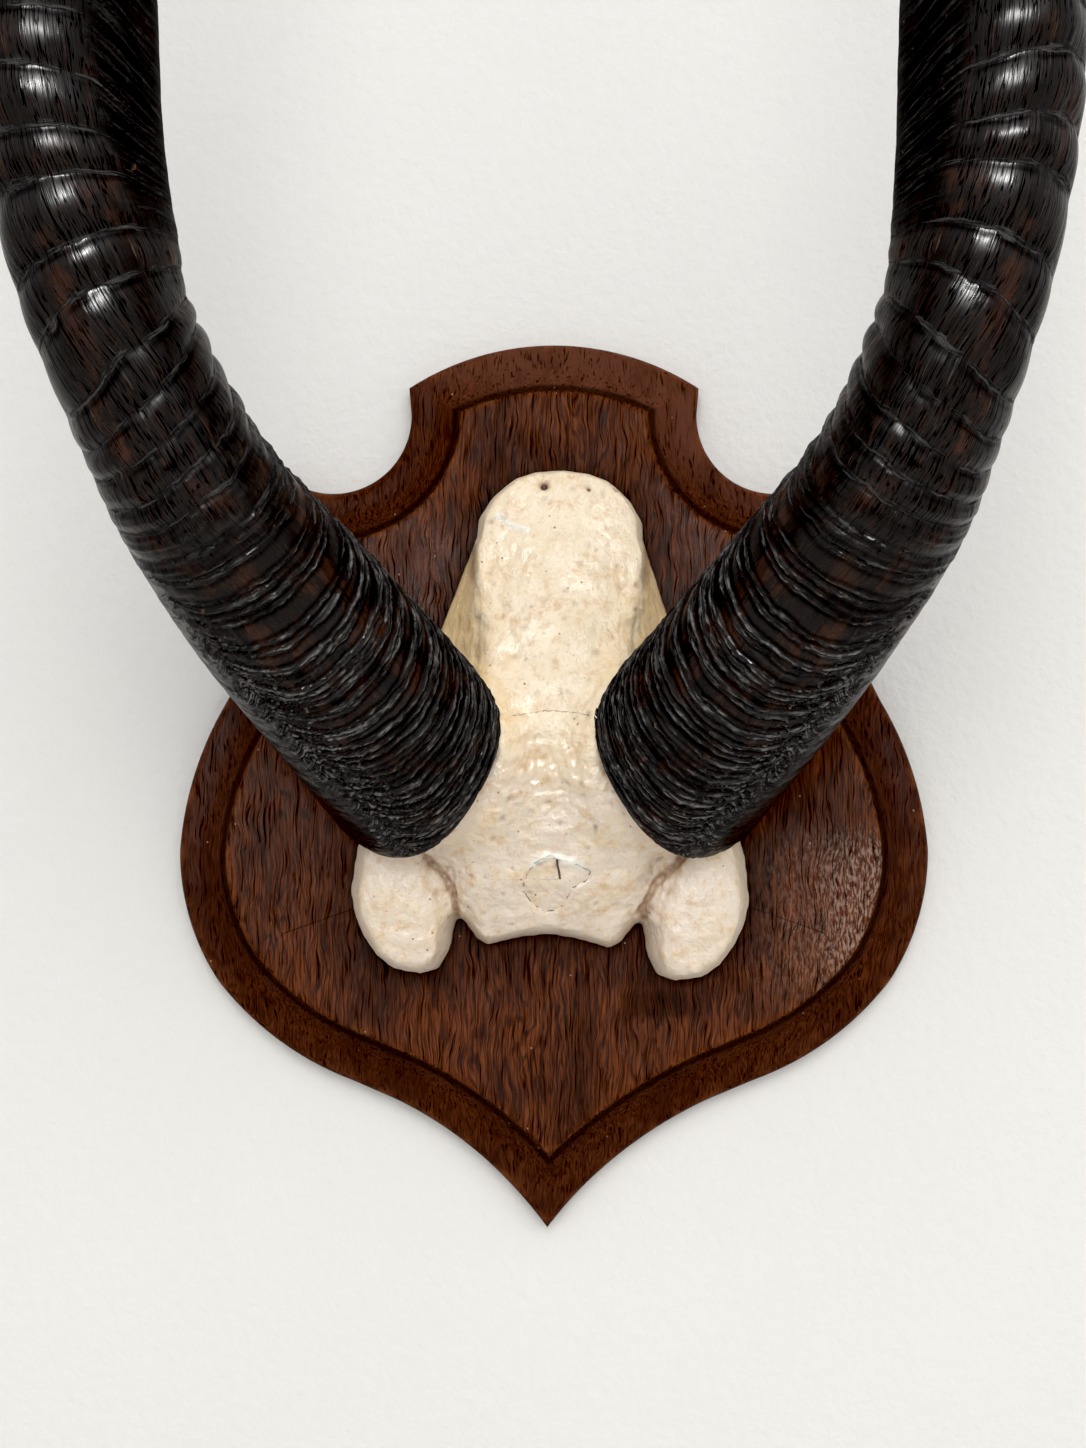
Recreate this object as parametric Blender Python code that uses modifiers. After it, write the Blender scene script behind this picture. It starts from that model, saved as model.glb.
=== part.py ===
"""Waterbuck trophy mount: two ringed horns on a sawn skull cap, screwed to a moulded oak wall shield.

X runs to the right of someone facing the mount, Y runs into the wall and Z is up. The origin is the
middle of the shield's back face. Dimensions are in millimetres, and `metres` turns them into Blender units.
"""

import math

import bmesh
import bpy
from mathutils import Matrix, Vector

MM = 0.001
GAP = 0.3

# Shield
BOARD_THICKNESS = 20.0
SHIELD_TOP = 172.3
SHIELD_TIP = -172.7
ARCH_CORNER = (56.6, 155.5)
ARCH_ARC = 33.0
SCOOP_START = (55.7, 144.9)
EAR = (108.0, 123.2)
SCOOP_ARC = 135.0
WAIST = (127.8, 33.2)
WAIST_ARC = 31.0
WIDEST = (146.3, -25.0)
LOBE_ARCS = (26.6, 33.4, 32.6)
LOBE_TURN = (131.6, -75.8)
LOBE_END = (78.8, -114.9)
OGEE_START = (60.6, -122.7)
OGEE_ARC = 28.0
TIP_LEAN = -2.6
LEAN_BELOW = -95.0
SIDE_COUNTS = (6, 8, 22)
# Cove moulding: distance in from the rim and height above the back, from the rim to the flat field.
MOULDING = ((0.0, 8.0), (1.4, 9.4), (7.0, 10.1), (12.5, 11.6), (16.6, 14.2), (19.3, 17.8), (20.2, 20.0))

# Skull cap, in its own frame: u across, v up, and height out from the shield's field.
SKULL_X = -0.4
SKULL_TURN = 1.6
SKULL_OUTLINE = (
    (0.0, 121.5), (10.0, 120.6), (18.0, 117.8), (26.3, 110.5), (31.0, 102.5), (31.8, 95.0), (34.6, 87.0),
    (43.5, 62.0), (51.0, 40.0), (60.0, 14.0), (69.0, -8.0), (74.5, -26.0), (76.4, -42.0), (74.8, -51.0),
    (71.2, -59.0), (66.0, -66.4), (59.0, -71.5), (49.0, -73.0), (42.5, -71.0), (38.3, -63.5), (36.8, -54.0),
    (35.6, -50.6), (33.0, -51.5), (27.5, -58.7), (23.5, -61.2), (14.0, -58.6), (7.0, -57.2), (0.0, -56.6),
)  # fmt: skip
# Height of the middle of the skull at each v.
CROWN = (
    (-62.0, 17.0), (-50.0, 26.0), (-35.0, 36.0), (-15.0, 44.5), (5.0, 50.0), (22.0, 52.0), (45.0, 48.5),
    (70.0, 41.5), (95.0, 34.5), (112.0, 29.5), (125.0, 24.0),
)  # fmt: skip
CROWN_BOW = 0.0042
WALL_FOOT = 5.0
WALL_SLOPE = (
    (-75.0, 5.0), (-20.0, 5.0), (5.0, 3.0), (30.0, 2.2), (50.0, 2.1), (60.0, 2.4), (70.0, 3.2), (80.0, 5.0),
    (90.0, 9.0), (125.0, 9.0),
)  # fmt: skip
EDGE_ROUND = 7.0
LOBE_CENTRE = (56.5, -36.0)
LOBE_HEIGHT = 31.0
LOBE_BOW = (0.012, 0.0065)
BROW_GROOVE = ((49.0, -18.0), (40.0, -33.0), (35.8, -48.0))
BROW_GROOVE_DEPTH = 5.0
BROW_GROOVE_WIDTH = 5.5
COLLAR_HEIGHT = 6.0
COLLAR_WIDTH = 9.0
# The grid that the relief is raised from: its size, the v of its middle, its step and how deep its back lies.
RELIEF_SIZE = (172.0, 208.0)
RELIEF_MIDDLE = 24.0
RELIEF_STEP = 2.0
RELIEF_FLOOR = -6.0
RELIEF_BACK = -9.0
OUTSIDE_SLOPE = 4.0
LOWEST_TOP = 4.0
SKULL_VOXEL = 2.0
SKULL_SMOOTHING = 3
SKULL_TRIANGLES = 1900

# Horns. Each station is x, y, z, half width, half depth and roll in degrees, from the base to the tip.
HORN_STATIONS = {
    "horn_left": (
        (-54.0, -57.0, 11.5, 36.8, 37.0, 0.0),
        (-73.5, -93.0, 38.7, 35.0, 36.5, 0.0),
        (-97.3, -128.0, 68.6, 32.4, 35.0, 0.0),
        (-117.2, -157.0, 97.1, 27.8, 33.5, 2.0),
        (-129.0, -178.0, 122.1, 24.4, 31.5, 5.0),
        (-139.0, -195.0, 148.4, 22.4, 30.0, 12.0),
        (-143.2, -204.0, 168.7, 22.0, 29.0, 26.0),
        (-148.2, -216.0, 203.3, 21.8, 28.6, 43.0),
        (-149.2, -226.0, 243.3, 21.6, 28.0, 55.0),
        (-148.0, -236.0, 300.0, 20.2, 26.0, 62.0),
        (-144.0, -248.0, 365.0, 17.6, 22.6, 66.0),
        (-137.0, -264.0, 430.0, 14.0, 17.4, 68.0),
        (-129.0, -285.0, 495.0, 10.2, 12.2, 70.0),
        (-122.0, -309.0, 548.0, 6.4, 7.3, 70.0),
        (-117.0, -332.0, 588.0, 1.6, 1.8, 70.0),
    ),
    "horn_right": (
        (48.8, -57.0, 11.5, 36.8, 37.0, 0.0),
        (67.5, -93.0, 38.4, 35.0, 36.5, 0.0),
        (89.7, -128.0, 68.9, 32.4, 35.0, 0.0),
        (108.2, -157.0, 97.8, 28.6, 33.5, 2.0),
        (118.2, -178.0, 122.8, 24.8, 31.5, 5.0),
        (125.2, -195.0, 148.4, 22.4, 30.0, 12.0),
        (129.0, -204.0, 168.7, 21.6, 28.6, 26.0),
        (131.4, -216.0, 203.3, 21.6, 28.4, 43.0),
        (131.8, -226.0, 243.3, 21.6, 28.0, 55.0),
        (130.4, -236.0, 300.0, 20.2, 26.0, 62.0),
        (127.0, -248.0, 365.0, 17.6, 22.6, 66.0),
        (121.0, -263.0, 430.0, 14.0, 17.4, 68.0),
        (113.0, -283.0, 495.0, 10.2, 12.2, 70.0),
        (106.0, -306.0, 548.0, 6.4, 7.3, 70.0),
        (100.5, -328.0, 588.0, 1.6, 1.8, 70.0),
    ),
}
# The base plane of each horn faces out along this direction, and the horn turns to its path in BASE_BLEND.
BASE_NORMAL = {"horn_left": (-0.527, -0.788, 0.319), "horn_right": (0.527, -0.788, 0.319)}
BASE_BLEND = 55.0
SECTION_POWER = 2.4
CORNER_ANGLE = 62.0
CORNER_WIDTH = 30.0
CORNER_SWELL = 0.05
FIRST_RING = 9.0
LAST_RING = 515.0
RING_SPACING = ((0.0, 7.0), (90.0, 8.5), (170.0, 11.5), (260.0, 16.0), (360.0, 17.5), (LAST_RING, 13.0))
RING_RHYTHM = (1.0, 0.86, 1.14, 0.92, 1.22, 0.84, 1.05)
RING_DEPTH = ((0.0, 1.0), (40.0, 1.6), (160.0, 2.0), (330.0, 2.2), (450.0, 1.5), (LAST_RING, 0.5))
RING_ARCH = ((0.0, 0.0), (120.0, -2.0), (195.0, -2.0), (232.0, 3.0), (270.0, 9.0), (420.0, 10.0), (700.0, 5.0))
FLANK_FALL = 1.8
GROOVE_WIDTH = 1.6
HORN_SIDES = 16
PATH_SAMPLES = 24
TIP_STATIONS = 7

# Pedicles, the bony stumps under the horns.
PEDICLE_RADIUS = 34.5
PEDICLE_ROOT_RADIUS = 31.0
PEDICLE_LENGTH = 34.0
HORN_CLEARANCE_RADIUS = 42.0
HORN_CLEARANCE_LENGTH = 70.0
PEDICLE_OVERLAP = 4.0

# Fixings in the back of the shield.
HANGER_SIZE = (46.0, 10.0, 1.2)
HANGER_Z = 118.0
HANGER_TEETH = 7
HANGER_TOOTH = (3.0, 2.4)
HANGER_RECESS = (54.0, 18.0, 3.6)
HANGER_SCREW_PITCH = 38.0
HANGER_SCREW = {"head": 2.7, "shank": 1.2, "length": 12.0, "sink": 1.3}
SKULL_SCREW = {"head": 5.2, "shank": 2.4, "length": 34.0, "sink": 2.8}
SKULL_SCREW_Z = {"skull_screw_upper": 62.0, "skull_screw_lower": -24.0}
COUNTERBORE_DEPTH = 2.0
SLOT_WIDTH = 0.9
SLOT_DEPTH = 0.6
SCREW_POINT = 0.35
PAST = 1.0
SCREW_SIDES = 12

WOOD = ("shield_oak", (0.10, 0.035, 0.016), 0.38, 0.0)
BONE = ("skull_bone", (0.80, 0.70, 0.54), 0.34, 0.0)
HORN = ("horn_keratin", (0.018, 0.012, 0.009), 0.36, 0.0)
STEEL = ("steel", (0.34, 0.32, 0.29), 0.42, 1.0)


def metres(point):
    """A point in millimetres as a Vector in metres."""
    return Vector(point) * MM


def between(table, at):
    """The value at `at` of a table of (place, value) pairs, with a straight line from pair to pair."""
    for (low, first), (high, last) in zip(table, table[1:]):
        if at <= high:
            share = max(0.0, (at - low) / (high - low))
            return first + (last - first) * share
    return table[-1][1]


def smooth_step(value):
    """0 below 0, 1 above 1, and a smooth rise between."""
    value = min(1.0, max(0.0, value))
    return value * value * (3.0 - 2.0 * value)


def material(name, colour, roughness, metallic):
    """The Principled material of that name, made once."""
    made = bpy.data.materials.get(name)
    if made is None:
        made = bpy.data.materials.new(name)
        made.use_nodes = True
        shader = made.node_tree.nodes["Principled BSDF"]
        shader.inputs["Base Color"].default_value = (*colour, 1.0)
        shader.inputs["Roughness"].default_value = roughness
        shader.inputs["Metallic"].default_value = metallic
    return made


def make_object(name, bm, collection, finish=None):
    """An object of that name from a bmesh, in its collection, with its material."""
    mesh = bpy.data.meshes.new(name)
    bmesh.ops.recalc_face_normals(bm, faces=bm.faces)
    bm.to_mesh(mesh)
    bm.free()
    made = bpy.data.objects.new(name, mesh)
    collection.objects.link(made)
    if finish:
        mesh.materials.append(material(*finish))
    else:
        made.hide_render = True
        made.display_type = "WIRE"
    return made


def applied(made):
    """The object with its modifiers applied."""
    bpy.context.view_layer.update()
    graph = bpy.context.evaluated_depsgraph_get()
    finished = bpy.data.meshes.new_from_object(made.evaluated_get(graph))
    made.modifiers.clear()
    made.data = finished
    return made


def cut(made, cutter, operation="DIFFERENCE"):
    """Adds a Boolean with the cutter to the object."""
    boolean = made.modifiers.new("cut_" + cutter.name, "BOOLEAN")
    boolean.operation = operation
    boolean.object = cutter


def shade(made, angle=35.0):
    """Shades the object smooth, with edges sharper than the angle left sharp."""
    made.data.shade_smooth()
    made.data.set_sharp_from_angle(angle=math.radians(angle))


def arc_points(start, end, included, count):
    """Points along an arc that turns through `included` degrees, after `start` and up to `end`.

    A positive arc turns left as it goes, a negative one right, and 0 is a straight line.
    """
    start = Vector(start)
    chord = Vector(end) - start
    piece = math.radians(included) / count
    if included:
        length = chord.length / (2.0 * math.sin(abs(included) * math.pi / 360.0))
        length *= 2.0 * math.sin(abs(piece) / 2.0)
    else:
        length = chord.length / count
    heading = math.atan2(chord.y, chord.x) - math.radians(included) / 2.0
    points = []
    point = start
    for _ in range(count):
        heading += piece / 2.0
        point = point + Vector((math.cos(heading), math.sin(heading))) * length
        heading += piece / 2.0
        points.append(point)
    return points


def half_sides():
    """The right half of the outline from the arch to the tip: three finely sampled sides between its corners."""
    arch = [Vector((0.0, SHIELD_TOP))]
    arch += arc_points(arch[-1], ARCH_CORNER, -ARCH_ARC, 60)
    scoop = [arch[-1]]
    scoop += arc_points(scoop[-1], SCOOP_START, 0.0, 12)
    scoop += arc_points(scoop[-1], EAR, SCOOP_ARC, 80)
    flank = [scoop[-1]]
    flank += arc_points(flank[-1], WAIST, WAIST_ARC, 60)
    flank += arc_points(flank[-1], WIDEST, -LOBE_ARCS[0], 40)
    flank += arc_points(flank[-1], LOBE_TURN, -LOBE_ARCS[1], 40)
    flank += arc_points(flank[-1], LOBE_END, -LOBE_ARCS[2], 40)
    flank += arc_points(flank[-1], OGEE_START, 0.0, 12)
    flank += arc_points(flank[-1], (0.0, SHIELD_TIP), OGEE_ARC, 60)
    return arch, scoop, flank


def moved_inward(side, distance):
    """A side moved to its right by a distance."""
    moved = []
    for index, point in enumerate(side):
        ahead = side[min(index + 1, len(side) - 1)]
        behind = side[max(index - 1, 0)]
        along = (ahead - behind).normalized()
        moved.append(point + Vector((along.y, -along.x)) * distance)
    return moved


def crossing(first, second):
    """Where two sides cross: the place along each, in points, or nothing."""
    for i in range(len(first) - 2, -1, -1):
        a = first[i]
        ab = first[i + 1] - a
        for j in range(len(second) - 1):
            c = second[j]
            cd = second[j + 1] - c
            turn = ab.cross(cd)
            if abs(turn) < 1e-9:
                continue
            s = (c - a).cross(cd) / turn
            t = (c - a).cross(ab) / turn
            if -1e-6 <= s <= 1.0 and -1e-6 <= t <= 1.0:
                return i + s, j + t
    return None


def at_place(side, place):
    """The point of a side at a place counted in points."""
    index = min(int(place), len(side) - 2)
    return side[index].lerp(side[index + 1], place - index)


def ring_outline(inset):
    """The whole outline moved in by `inset`, clockwise from the top, with its corners mitred."""
    arch, scoop, flank = [moved_inward(side, inset) for side in half_sides()]
    cuts = [0.0]
    if inset:
        corner = crossing(arch, scoop)
        ear = crossing(scoop, flank)
        axis = [Vector((0.0, SHIELD_TIP - 1.0)), Vector((0.0, SHIELD_TIP + 90.0))]
        cuts += [corner[0], corner[1], ear[0], ear[1], crossing(flank, axis)[0]]
    else:
        cuts += [len(arch) - 1, 0.0, len(scoop) - 1, 0.0, len(flank) - 1]
    right = []
    for number, side in enumerate((arch, scoop, flank)):
        low, high = cuts[2 * number], cuts[2 * number + 1]
        for index in range(SIDE_COUNTS[number]):
            share = index / SIDE_COUNTS[number]
            right.append(at_place(side, low + (high - low) * share))
    right.append(at_place(flank, cuts[-1]))
    right[0].x = 0.0
    right[-1].x = 0.0
    left = [Vector((-point.x, point.y)) for point in reversed(right[1:-1])]
    leaning = []
    for x, z in right + left:
        share = smooth_step((LEAN_BELOW - z) / (LEAN_BELOW - SHIELD_TIP))
        leaning.append((x + TIP_LEAN * share, z))
    return leaning


def box_cutter(name, size, centre, collection):
    """A box to cut with, `size` along X, Y and Z."""
    bm = bmesh.new()
    bmesh.ops.create_cube(bm, size=1.0)
    bmesh.ops.scale(bm, vec=metres(size), verts=bm.verts)
    bmesh.ops.translate(bm, vec=metres(centre), verts=bm.verts)
    return make_object(name, bm, collection)


def add_rod(bm, radius_near, radius_far, near, far, sides=SCREW_SIDES):
    """Adds a capped rod or cone to the bmesh, between two points."""
    near = metres(near)
    far = metres(far)
    along = far - near
    place = Matrix.Translation((near + far) / 2.0) @ along.to_track_quat("Z", "Y").to_matrix().to_4x4()
    bmesh.ops.create_cone(
        bm, cap_ends=True, segments=sides, radius1=radius_near * MM, radius2=radius_far * MM,
        depth=along.length, matrix=place,
    )  # fmt: skip


def rod_cutter(name, radius, near, far, collection, sides=SCREW_SIDES):
    """A round rod to cut with."""
    bm = bmesh.new()
    add_rod(bm, radius, radius, near, far, sides)
    return make_object(name, bm, collection)


def shield(collection, cutters):
    """The oak board: its outline, the cove moulding round the field, and the holes for the fixings."""
    bm = bmesh.new()
    loops = [[bm.verts.new(metres((x, 0.0, z))) for x, z in ring_outline(0.0)]]
    for inset, height in MOULDING:
        loops.append([bm.verts.new(metres((x, -height, z))) for x, z in ring_outline(inset)])
    for low, high in zip(loops, loops[1:]):
        for index in range(len(low)):
            following = (index + 1) % len(low)
            bm.faces.new((low[index], low[following], high[following], high[index]))
    bm.faces.new(loops[0])
    bm.faces.new(loops[-1])
    board = make_object("shield", bm, collection, WOOD)

    width, height, depth = HANGER_RECESS
    cut(board, box_cutter("hanger_recess", (width, 2 * depth, height), (0.0, 0.0, HANGER_Z), cutters))
    for name, x in hanger_screw_places().items():
        near = (x, PAST, HANGER_Z)
        far = (x, -hanger_seat() - HANGER_SCREW["length"] - PAST, HANGER_Z)
        cut(board, rod_cutter(name + "_pilot", HANGER_SCREW["shank"] + GAP, near, far, cutters))
    for name, z in SKULL_SCREW_Z.items():
        near = (0.0, PAST, z)
        through = (0.0, -BOARD_THICKNESS - PAST, z)
        seat = (0.0, -COUNTERBORE_DEPTH - SKULL_SCREW["sink"] - GAP, z)
        cut(board, rod_cutter(name + "_hole", SKULL_SCREW["shank"] + GAP, near, through, cutters))
        cut(board, rod_cutter(name + "_counterbore", SKULL_SCREW["head"] + GAP, near, seat, cutters))
    shade(applied(board), 24.0)
    return board


def hanger_seat():
    """How far the hanger's outer face lies below the board's back."""
    return HANGER_RECESS[2] - GAP - HANGER_SIZE[2]


def hanger_screw_places():
    """The X of each screw of the hanger."""
    half = HANGER_SCREW_PITCH / 2.0
    return {"hanger_screw_left": -half, "hanger_screw_right": half}


def hanger(collection, cutters):
    """The steel strip let into the back, with teeth along its lower edge to catch the wall hook."""
    width, height, thickness = HANGER_SIZE
    low = HANGER_Z - height / 2.0
    face = -hanger_seat()
    bm = bmesh.new()
    bmesh.ops.create_cube(bm, size=1.0)
    bmesh.ops.scale(bm, vec=metres((width, thickness, height)), verts=bm.verts)
    bmesh.ops.translate(bm, vec=metres((0.0, face - thickness / 2.0, HANGER_Z)), verts=bm.verts)
    strip = make_object("hanger", bm, collection, STEEL)
    pitch, depth = HANGER_TOOTH
    for index in range(HANGER_TEETH):
        x = (index - (HANGER_TEETH - 1) / 2.0) * pitch
        bm = bmesh.new()
        place = Matrix.Translation(metres((x, face - thickness / 2.0, low)))
        turned = Matrix.Rotation(math.radians(45.0), 4, "Y")
        size = Matrix.Diagonal((*metres((depth, 4.0 * thickness, depth)), 1.0))
        bmesh.ops.create_cube(bm, size=1.0, matrix=place @ turned @ size)
        cut(strip, make_object("hanger_notch_" + str(index), bm, cutters))
    for name, x in hanger_screw_places().items():
        near = (x, PAST, HANGER_Z)
        far = (x, -HANGER_RECESS[2] - PAST, HANGER_Z)
        cut(strip, rod_cutter(name + "_strip_hole", HANGER_SCREW["head"] + GAP, near, far, cutters))
    shade(applied(strip))
    return strip


def screw(name, sizes, place, collection, cutters):
    """A slotted countersunk wood screw driven in from the back, with the middle of its head's face at `place`."""
    x, top, z = place
    bm = bmesh.new()
    neck = top - sizes["sink"]
    end = top - sizes["length"]
    add_rod(bm, sizes["head"], sizes["shank"], (x, top, z), (x, neck, z))
    body = make_object(name, bm, collection, STEEL)
    bm = bmesh.new()
    add_rod(bm, sizes["shank"], sizes["shank"] * SCREW_POINT, (x, neck + 0.5, z), (x, end, z))
    shank = make_object(name + "_shank", bm, cutters)
    cut(body, shank, "UNION")
    slot_size = (sizes["head"] * 3.0, 2.0 * SLOT_DEPTH, SLOT_WIDTH)
    cut(body, box_cutter(name + "_slot", slot_size, (x, top, z), cutters))
    shade(applied(body))
    return body


def catmull_rom(before, first, last, after, share):
    """The point between `first` and `last` on a smooth curve through all four, as tuples of any length."""
    squared = share * share
    cubed = squared * share
    weights = (
        -0.5 * cubed + squared - 0.5 * share,
        1.5 * cubed - 2.5 * squared + 1.0,
        -1.5 * cubed + 2.0 * squared + 0.5 * share,
        0.5 * cubed - 0.5 * squared,
    )
    return [sum(w * v for w, v in zip(weights, values)) for values in zip(before, first, last, after)]


def horn_path(name):
    """Samples along a horn: (distance from the base, station values), from a smooth curve through its stations."""
    stations = HORN_STATIONS[name]
    first = [2.0 * a - b for a, b in zip(stations[0], stations[1])]
    last = [2.0 * a - b for a, b in zip(stations[-1], stations[-2])]
    padded = [first, *stations, last]
    samples = []
    for index in range(1, len(padded) - 2):
        for step in range(PATH_SAMPLES):
            samples.append(catmull_rom(*padded[index - 1 : index + 3], step / PATH_SAMPLES))
    samples.append(list(stations[-1]))
    along = 0.0
    path = [(0.0, samples[0])]
    for before, here in zip(samples, samples[1:]):
        along += (Vector(here[:3]) - Vector(before[:3])).length
        path.append((along, here))
    return path


def on_path(path, along):
    """The station values and the path's direction at a distance from the base. Below 0 it runs straight on."""
    for (low, first), (high, last) in zip(path, path[1:]):
        if along <= high:
            break
    share = (along - low) / (high - low)
    values = [a + (b - a) * share for a, b in zip(first, last)]
    direction = (Vector(last[:3]) - Vector(first[:3])).normalized()
    return values, direction


def horn_frame(name, path, along):
    """The centre, the inward and forward axes, the half width and the half depth of the section at a distance."""
    values, direction = on_path(path, along)
    ahead = on_path(path, min(along + 6.0, path[-1][0]))[1]
    behind = on_path(path, max(along - 6.0, 0.0))[1]
    tangent = (direction + ahead + behind).normalized()
    blend = smooth_step(along / BASE_BLEND)
    normal = (Vector(BASE_NORMAL[name]).normalized() * (1.0 - blend) + tangent * blend).normalized()
    viewer = Vector((0.0, -1.0, 0.0))
    forward = (viewer - normal * viewer.dot(normal)).normalized()
    inward = normal.cross(forward)
    if name == "horn_right":
        inward = -inward
    roll = math.radians(values[5])
    turned_forward = forward * math.cos(roll) - inward * math.sin(roll)
    turned_inward = inward * math.cos(roll) + forward * math.sin(roll)
    return Vector(values[:3]), turned_inward, turned_forward, values[3], values[4]


def ring_places():
    """The distance from the base of each growth ring's lip."""
    places = [FIRST_RING]
    while places[-1] < LAST_RING:
        rhythm = RING_RHYTHM[len(places) % len(RING_RHYTHM)]
        places.append(places[-1] + between(RING_SPACING, places[-1]) * rhythm)
    return places


def horn_rows(length):
    """The rows of a horn's mesh as (distance, swell): two for each ring, its lip and the groove above it."""
    rows = [(0.0, 0.0)]
    for place in ring_places():
        depth = between(RING_DEPTH, place)
        rows.append((place, depth))
        rows.append((place + GROOVE_WIDTH, 0.0))
    start = rows[-1][0]
    for index in range(1, TIP_STATIONS + 1):
        rows.append((start + (length - start) * (index / TIP_STATIONS) ** 0.8, 0.0))
    return rows


def horn_point(name, path, along, angle, swell):
    """A point of a horn's surface. Angle 0 faces the viewer, and a positive angle turns towards the other horn."""
    front = math.cos(angle)
    side = math.sin(angle)
    fade = smooth_step(along / 30.0) * smooth_step((path[-1][0] - along) / 40.0)
    arch = between(RING_ARCH, along) * fade
    drop = FLANK_FALL * max(0.0, side) * max(0.0, arch)
    centre, inward, forward, width, depth = horn_frame(name, path, along + arch * (front - 0.3) - drop)
    reach = (abs(side) ** SECTION_POWER + abs(front) ** SECTION_POWER) ** (-1.0 / SECTION_POWER)
    corner = (math.degrees(angle) - CORNER_ANGLE) / CORNER_WIDTH
    reach += CORNER_SWELL * math.exp(-corner * corner)
    strength = 0.35 + 0.65 * smooth_step(0.5 + 0.9 * front)
    across = inward * side * reach
    outward = forward * front * reach
    direction = (across + outward).normalized()
    return centre + across * width + outward * depth + direction * swell * strength


def horn(name, collection):
    """A solid horn lofted along its path, with a ridge at each growth ring."""
    path = horn_path(name)
    bm = bmesh.new()
    loops = []
    for along, swell in horn_rows(path[-1][0]):
        angles = [2.0 * math.pi * (side + 0.5) / HORN_SIDES for side in range(HORN_SIDES)]
        loop = [bm.verts.new(metres(horn_point(name, path, along, angle, swell))) for angle in angles]
        loops.append(loop)
    for low, high in zip(loops, loops[1:]):
        for side in range(HORN_SIDES):
            following = (side + 1) % HORN_SIDES
            bm.faces.new((low[side], low[following], high[following], high[side]))
    bm.faces.new(loops[0])
    bm.faces.new(loops[-1])
    made = make_object(name, bm, collection, HORN)
    shade(made, 50.0)
    return made


def skull_place():
    """The matrix that puts the skull cap's own frame (u, height, v) on the shield's field, in metres."""
    turn = Matrix.Rotation(math.radians(SKULL_TURN), 4, "Y")
    move = Matrix.Translation(metres((SKULL_X, -BOARD_THICKNESS - GAP, 0.0)))
    outwards = Matrix.Diagonal((1.0, -1.0, 1.0, 1.0))
    return move @ turn @ outwards


def smooth_min(first, second, reach):
    """The lower of two heights, with a rounding of that reach where they meet."""
    share = min(1.0, max(0.0, 0.5 + 0.5 * (second - first) / reach))
    return second + (first - second) * share - reach * share * (1.0 - share)


def distance_to_line(point, line):
    """The distance from a point to a chain of points."""
    nearest = None
    for start, end in zip(line, line[1:]):
        along = end - start
        share = min(1.0, max(0.0, (point - start).dot(along) / along.length_squared))
        gap = (point - start - along * share).length
        nearest = gap if nearest is None else min(nearest, gap)
    return nearest


def inside(point, outline):
    """Whether a point is inside a closed chain of points."""
    within = False
    for start, end in zip(outline, outline[1:]):
        if (start.y > point.y) != (end.y > point.y):
            if point.x < start.x + (end.x - start.x) * (point.y - start.y) / (end.y - start.y):
                within = not within
    return within


def skull_height(u, v):
    """The height of the skull's surface above the shield's field. It is below 0 outside the outline."""
    right = [Vector(point) for point in SKULL_OUTLINE]
    outline = right + [Vector((-x, y)) for x, y in reversed(SKULL_OUTLINE[:-1])]
    point = Vector((u, v))
    edge = distance_to_line(point, outline)
    if not inside(point, outline):
        return -OUTSIDE_SLOPE * edge
    side = abs(u)
    crown = between(CROWN, v) - CROWN_BOW * u * u
    across, up = side - LOBE_CENTRE[0], v - LOBE_CENTRE[1]
    lobe = LOBE_HEIGHT - LOBE_BOW[0] * across * across - LOBE_BOW[1] * up * up
    fall = smooth_step((side - 30.0) / 14.0) * smooth_step((12.0 - v) / 20.0)
    top = crown + (lobe - crown) * fall
    top = max(top, LOWEST_TOP)
    groove = distance_to_line(Vector((side, v)), [Vector(place) for place in BROW_GROOVE])
    top -= BROW_GROOVE_DEPTH * math.exp(-((groove / BROW_GROOVE_WIDTH) ** 2))
    for name in HORN_STATIONS:
        centre = skull_place().inverted() @ metres(HORN_STATIONS[name][0][:3]) / MM
        collar = abs((point - Vector((centre.x, centre.z))).length - PEDICLE_RADIUS) / COLLAR_WIDTH
        top += COLLAR_HEIGHT * math.exp(-collar * collar) * smooth_step((v + 45.0) / 40.0)
    wall = WALL_FOOT + between(WALL_SLOPE, v) * edge
    return smooth_min(top, wall, EDGE_ROUND)


def skull_relief():
    """The skull's front surface raised from a grid, closed with a flat back below the shield's field."""
    bm = bmesh.new()
    width, height = RELIEF_SIZE
    columns, rows = round(width / RELIEF_STEP), round(height / RELIEF_STEP)
    bmesh.ops.create_grid(bm, x_segments=columns, y_segments=rows, size=0.5)
    for vert in bm.verts:
        u, v = vert.co.x * width, vert.co.y * height + RELIEF_MIDDLE
        vert.co = metres((u, max(RELIEF_FLOOR, skull_height(u, v)), v))
    rim = [edge for edge in bm.edges if edge.is_boundary]
    pushed = bmesh.ops.extrude_edge_only(bm, edges=rim)
    lowered = [item for item in pushed["geom"] if isinstance(item, bmesh.types.BMVert)]
    for vert in lowered:
        vert.co.y = RELIEF_BACK * MM
    bmesh.ops.contextual_create(bm, geom=[edge for edge in bm.edges if edge.is_boundary])
    return bm


def horn_base(name):
    """The centre of a horn's base and the direction that the base plane faces."""
    return Vector(HORN_STATIONS[name][0][:3]), Vector(BASE_NORMAL[name]).normalized()


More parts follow.
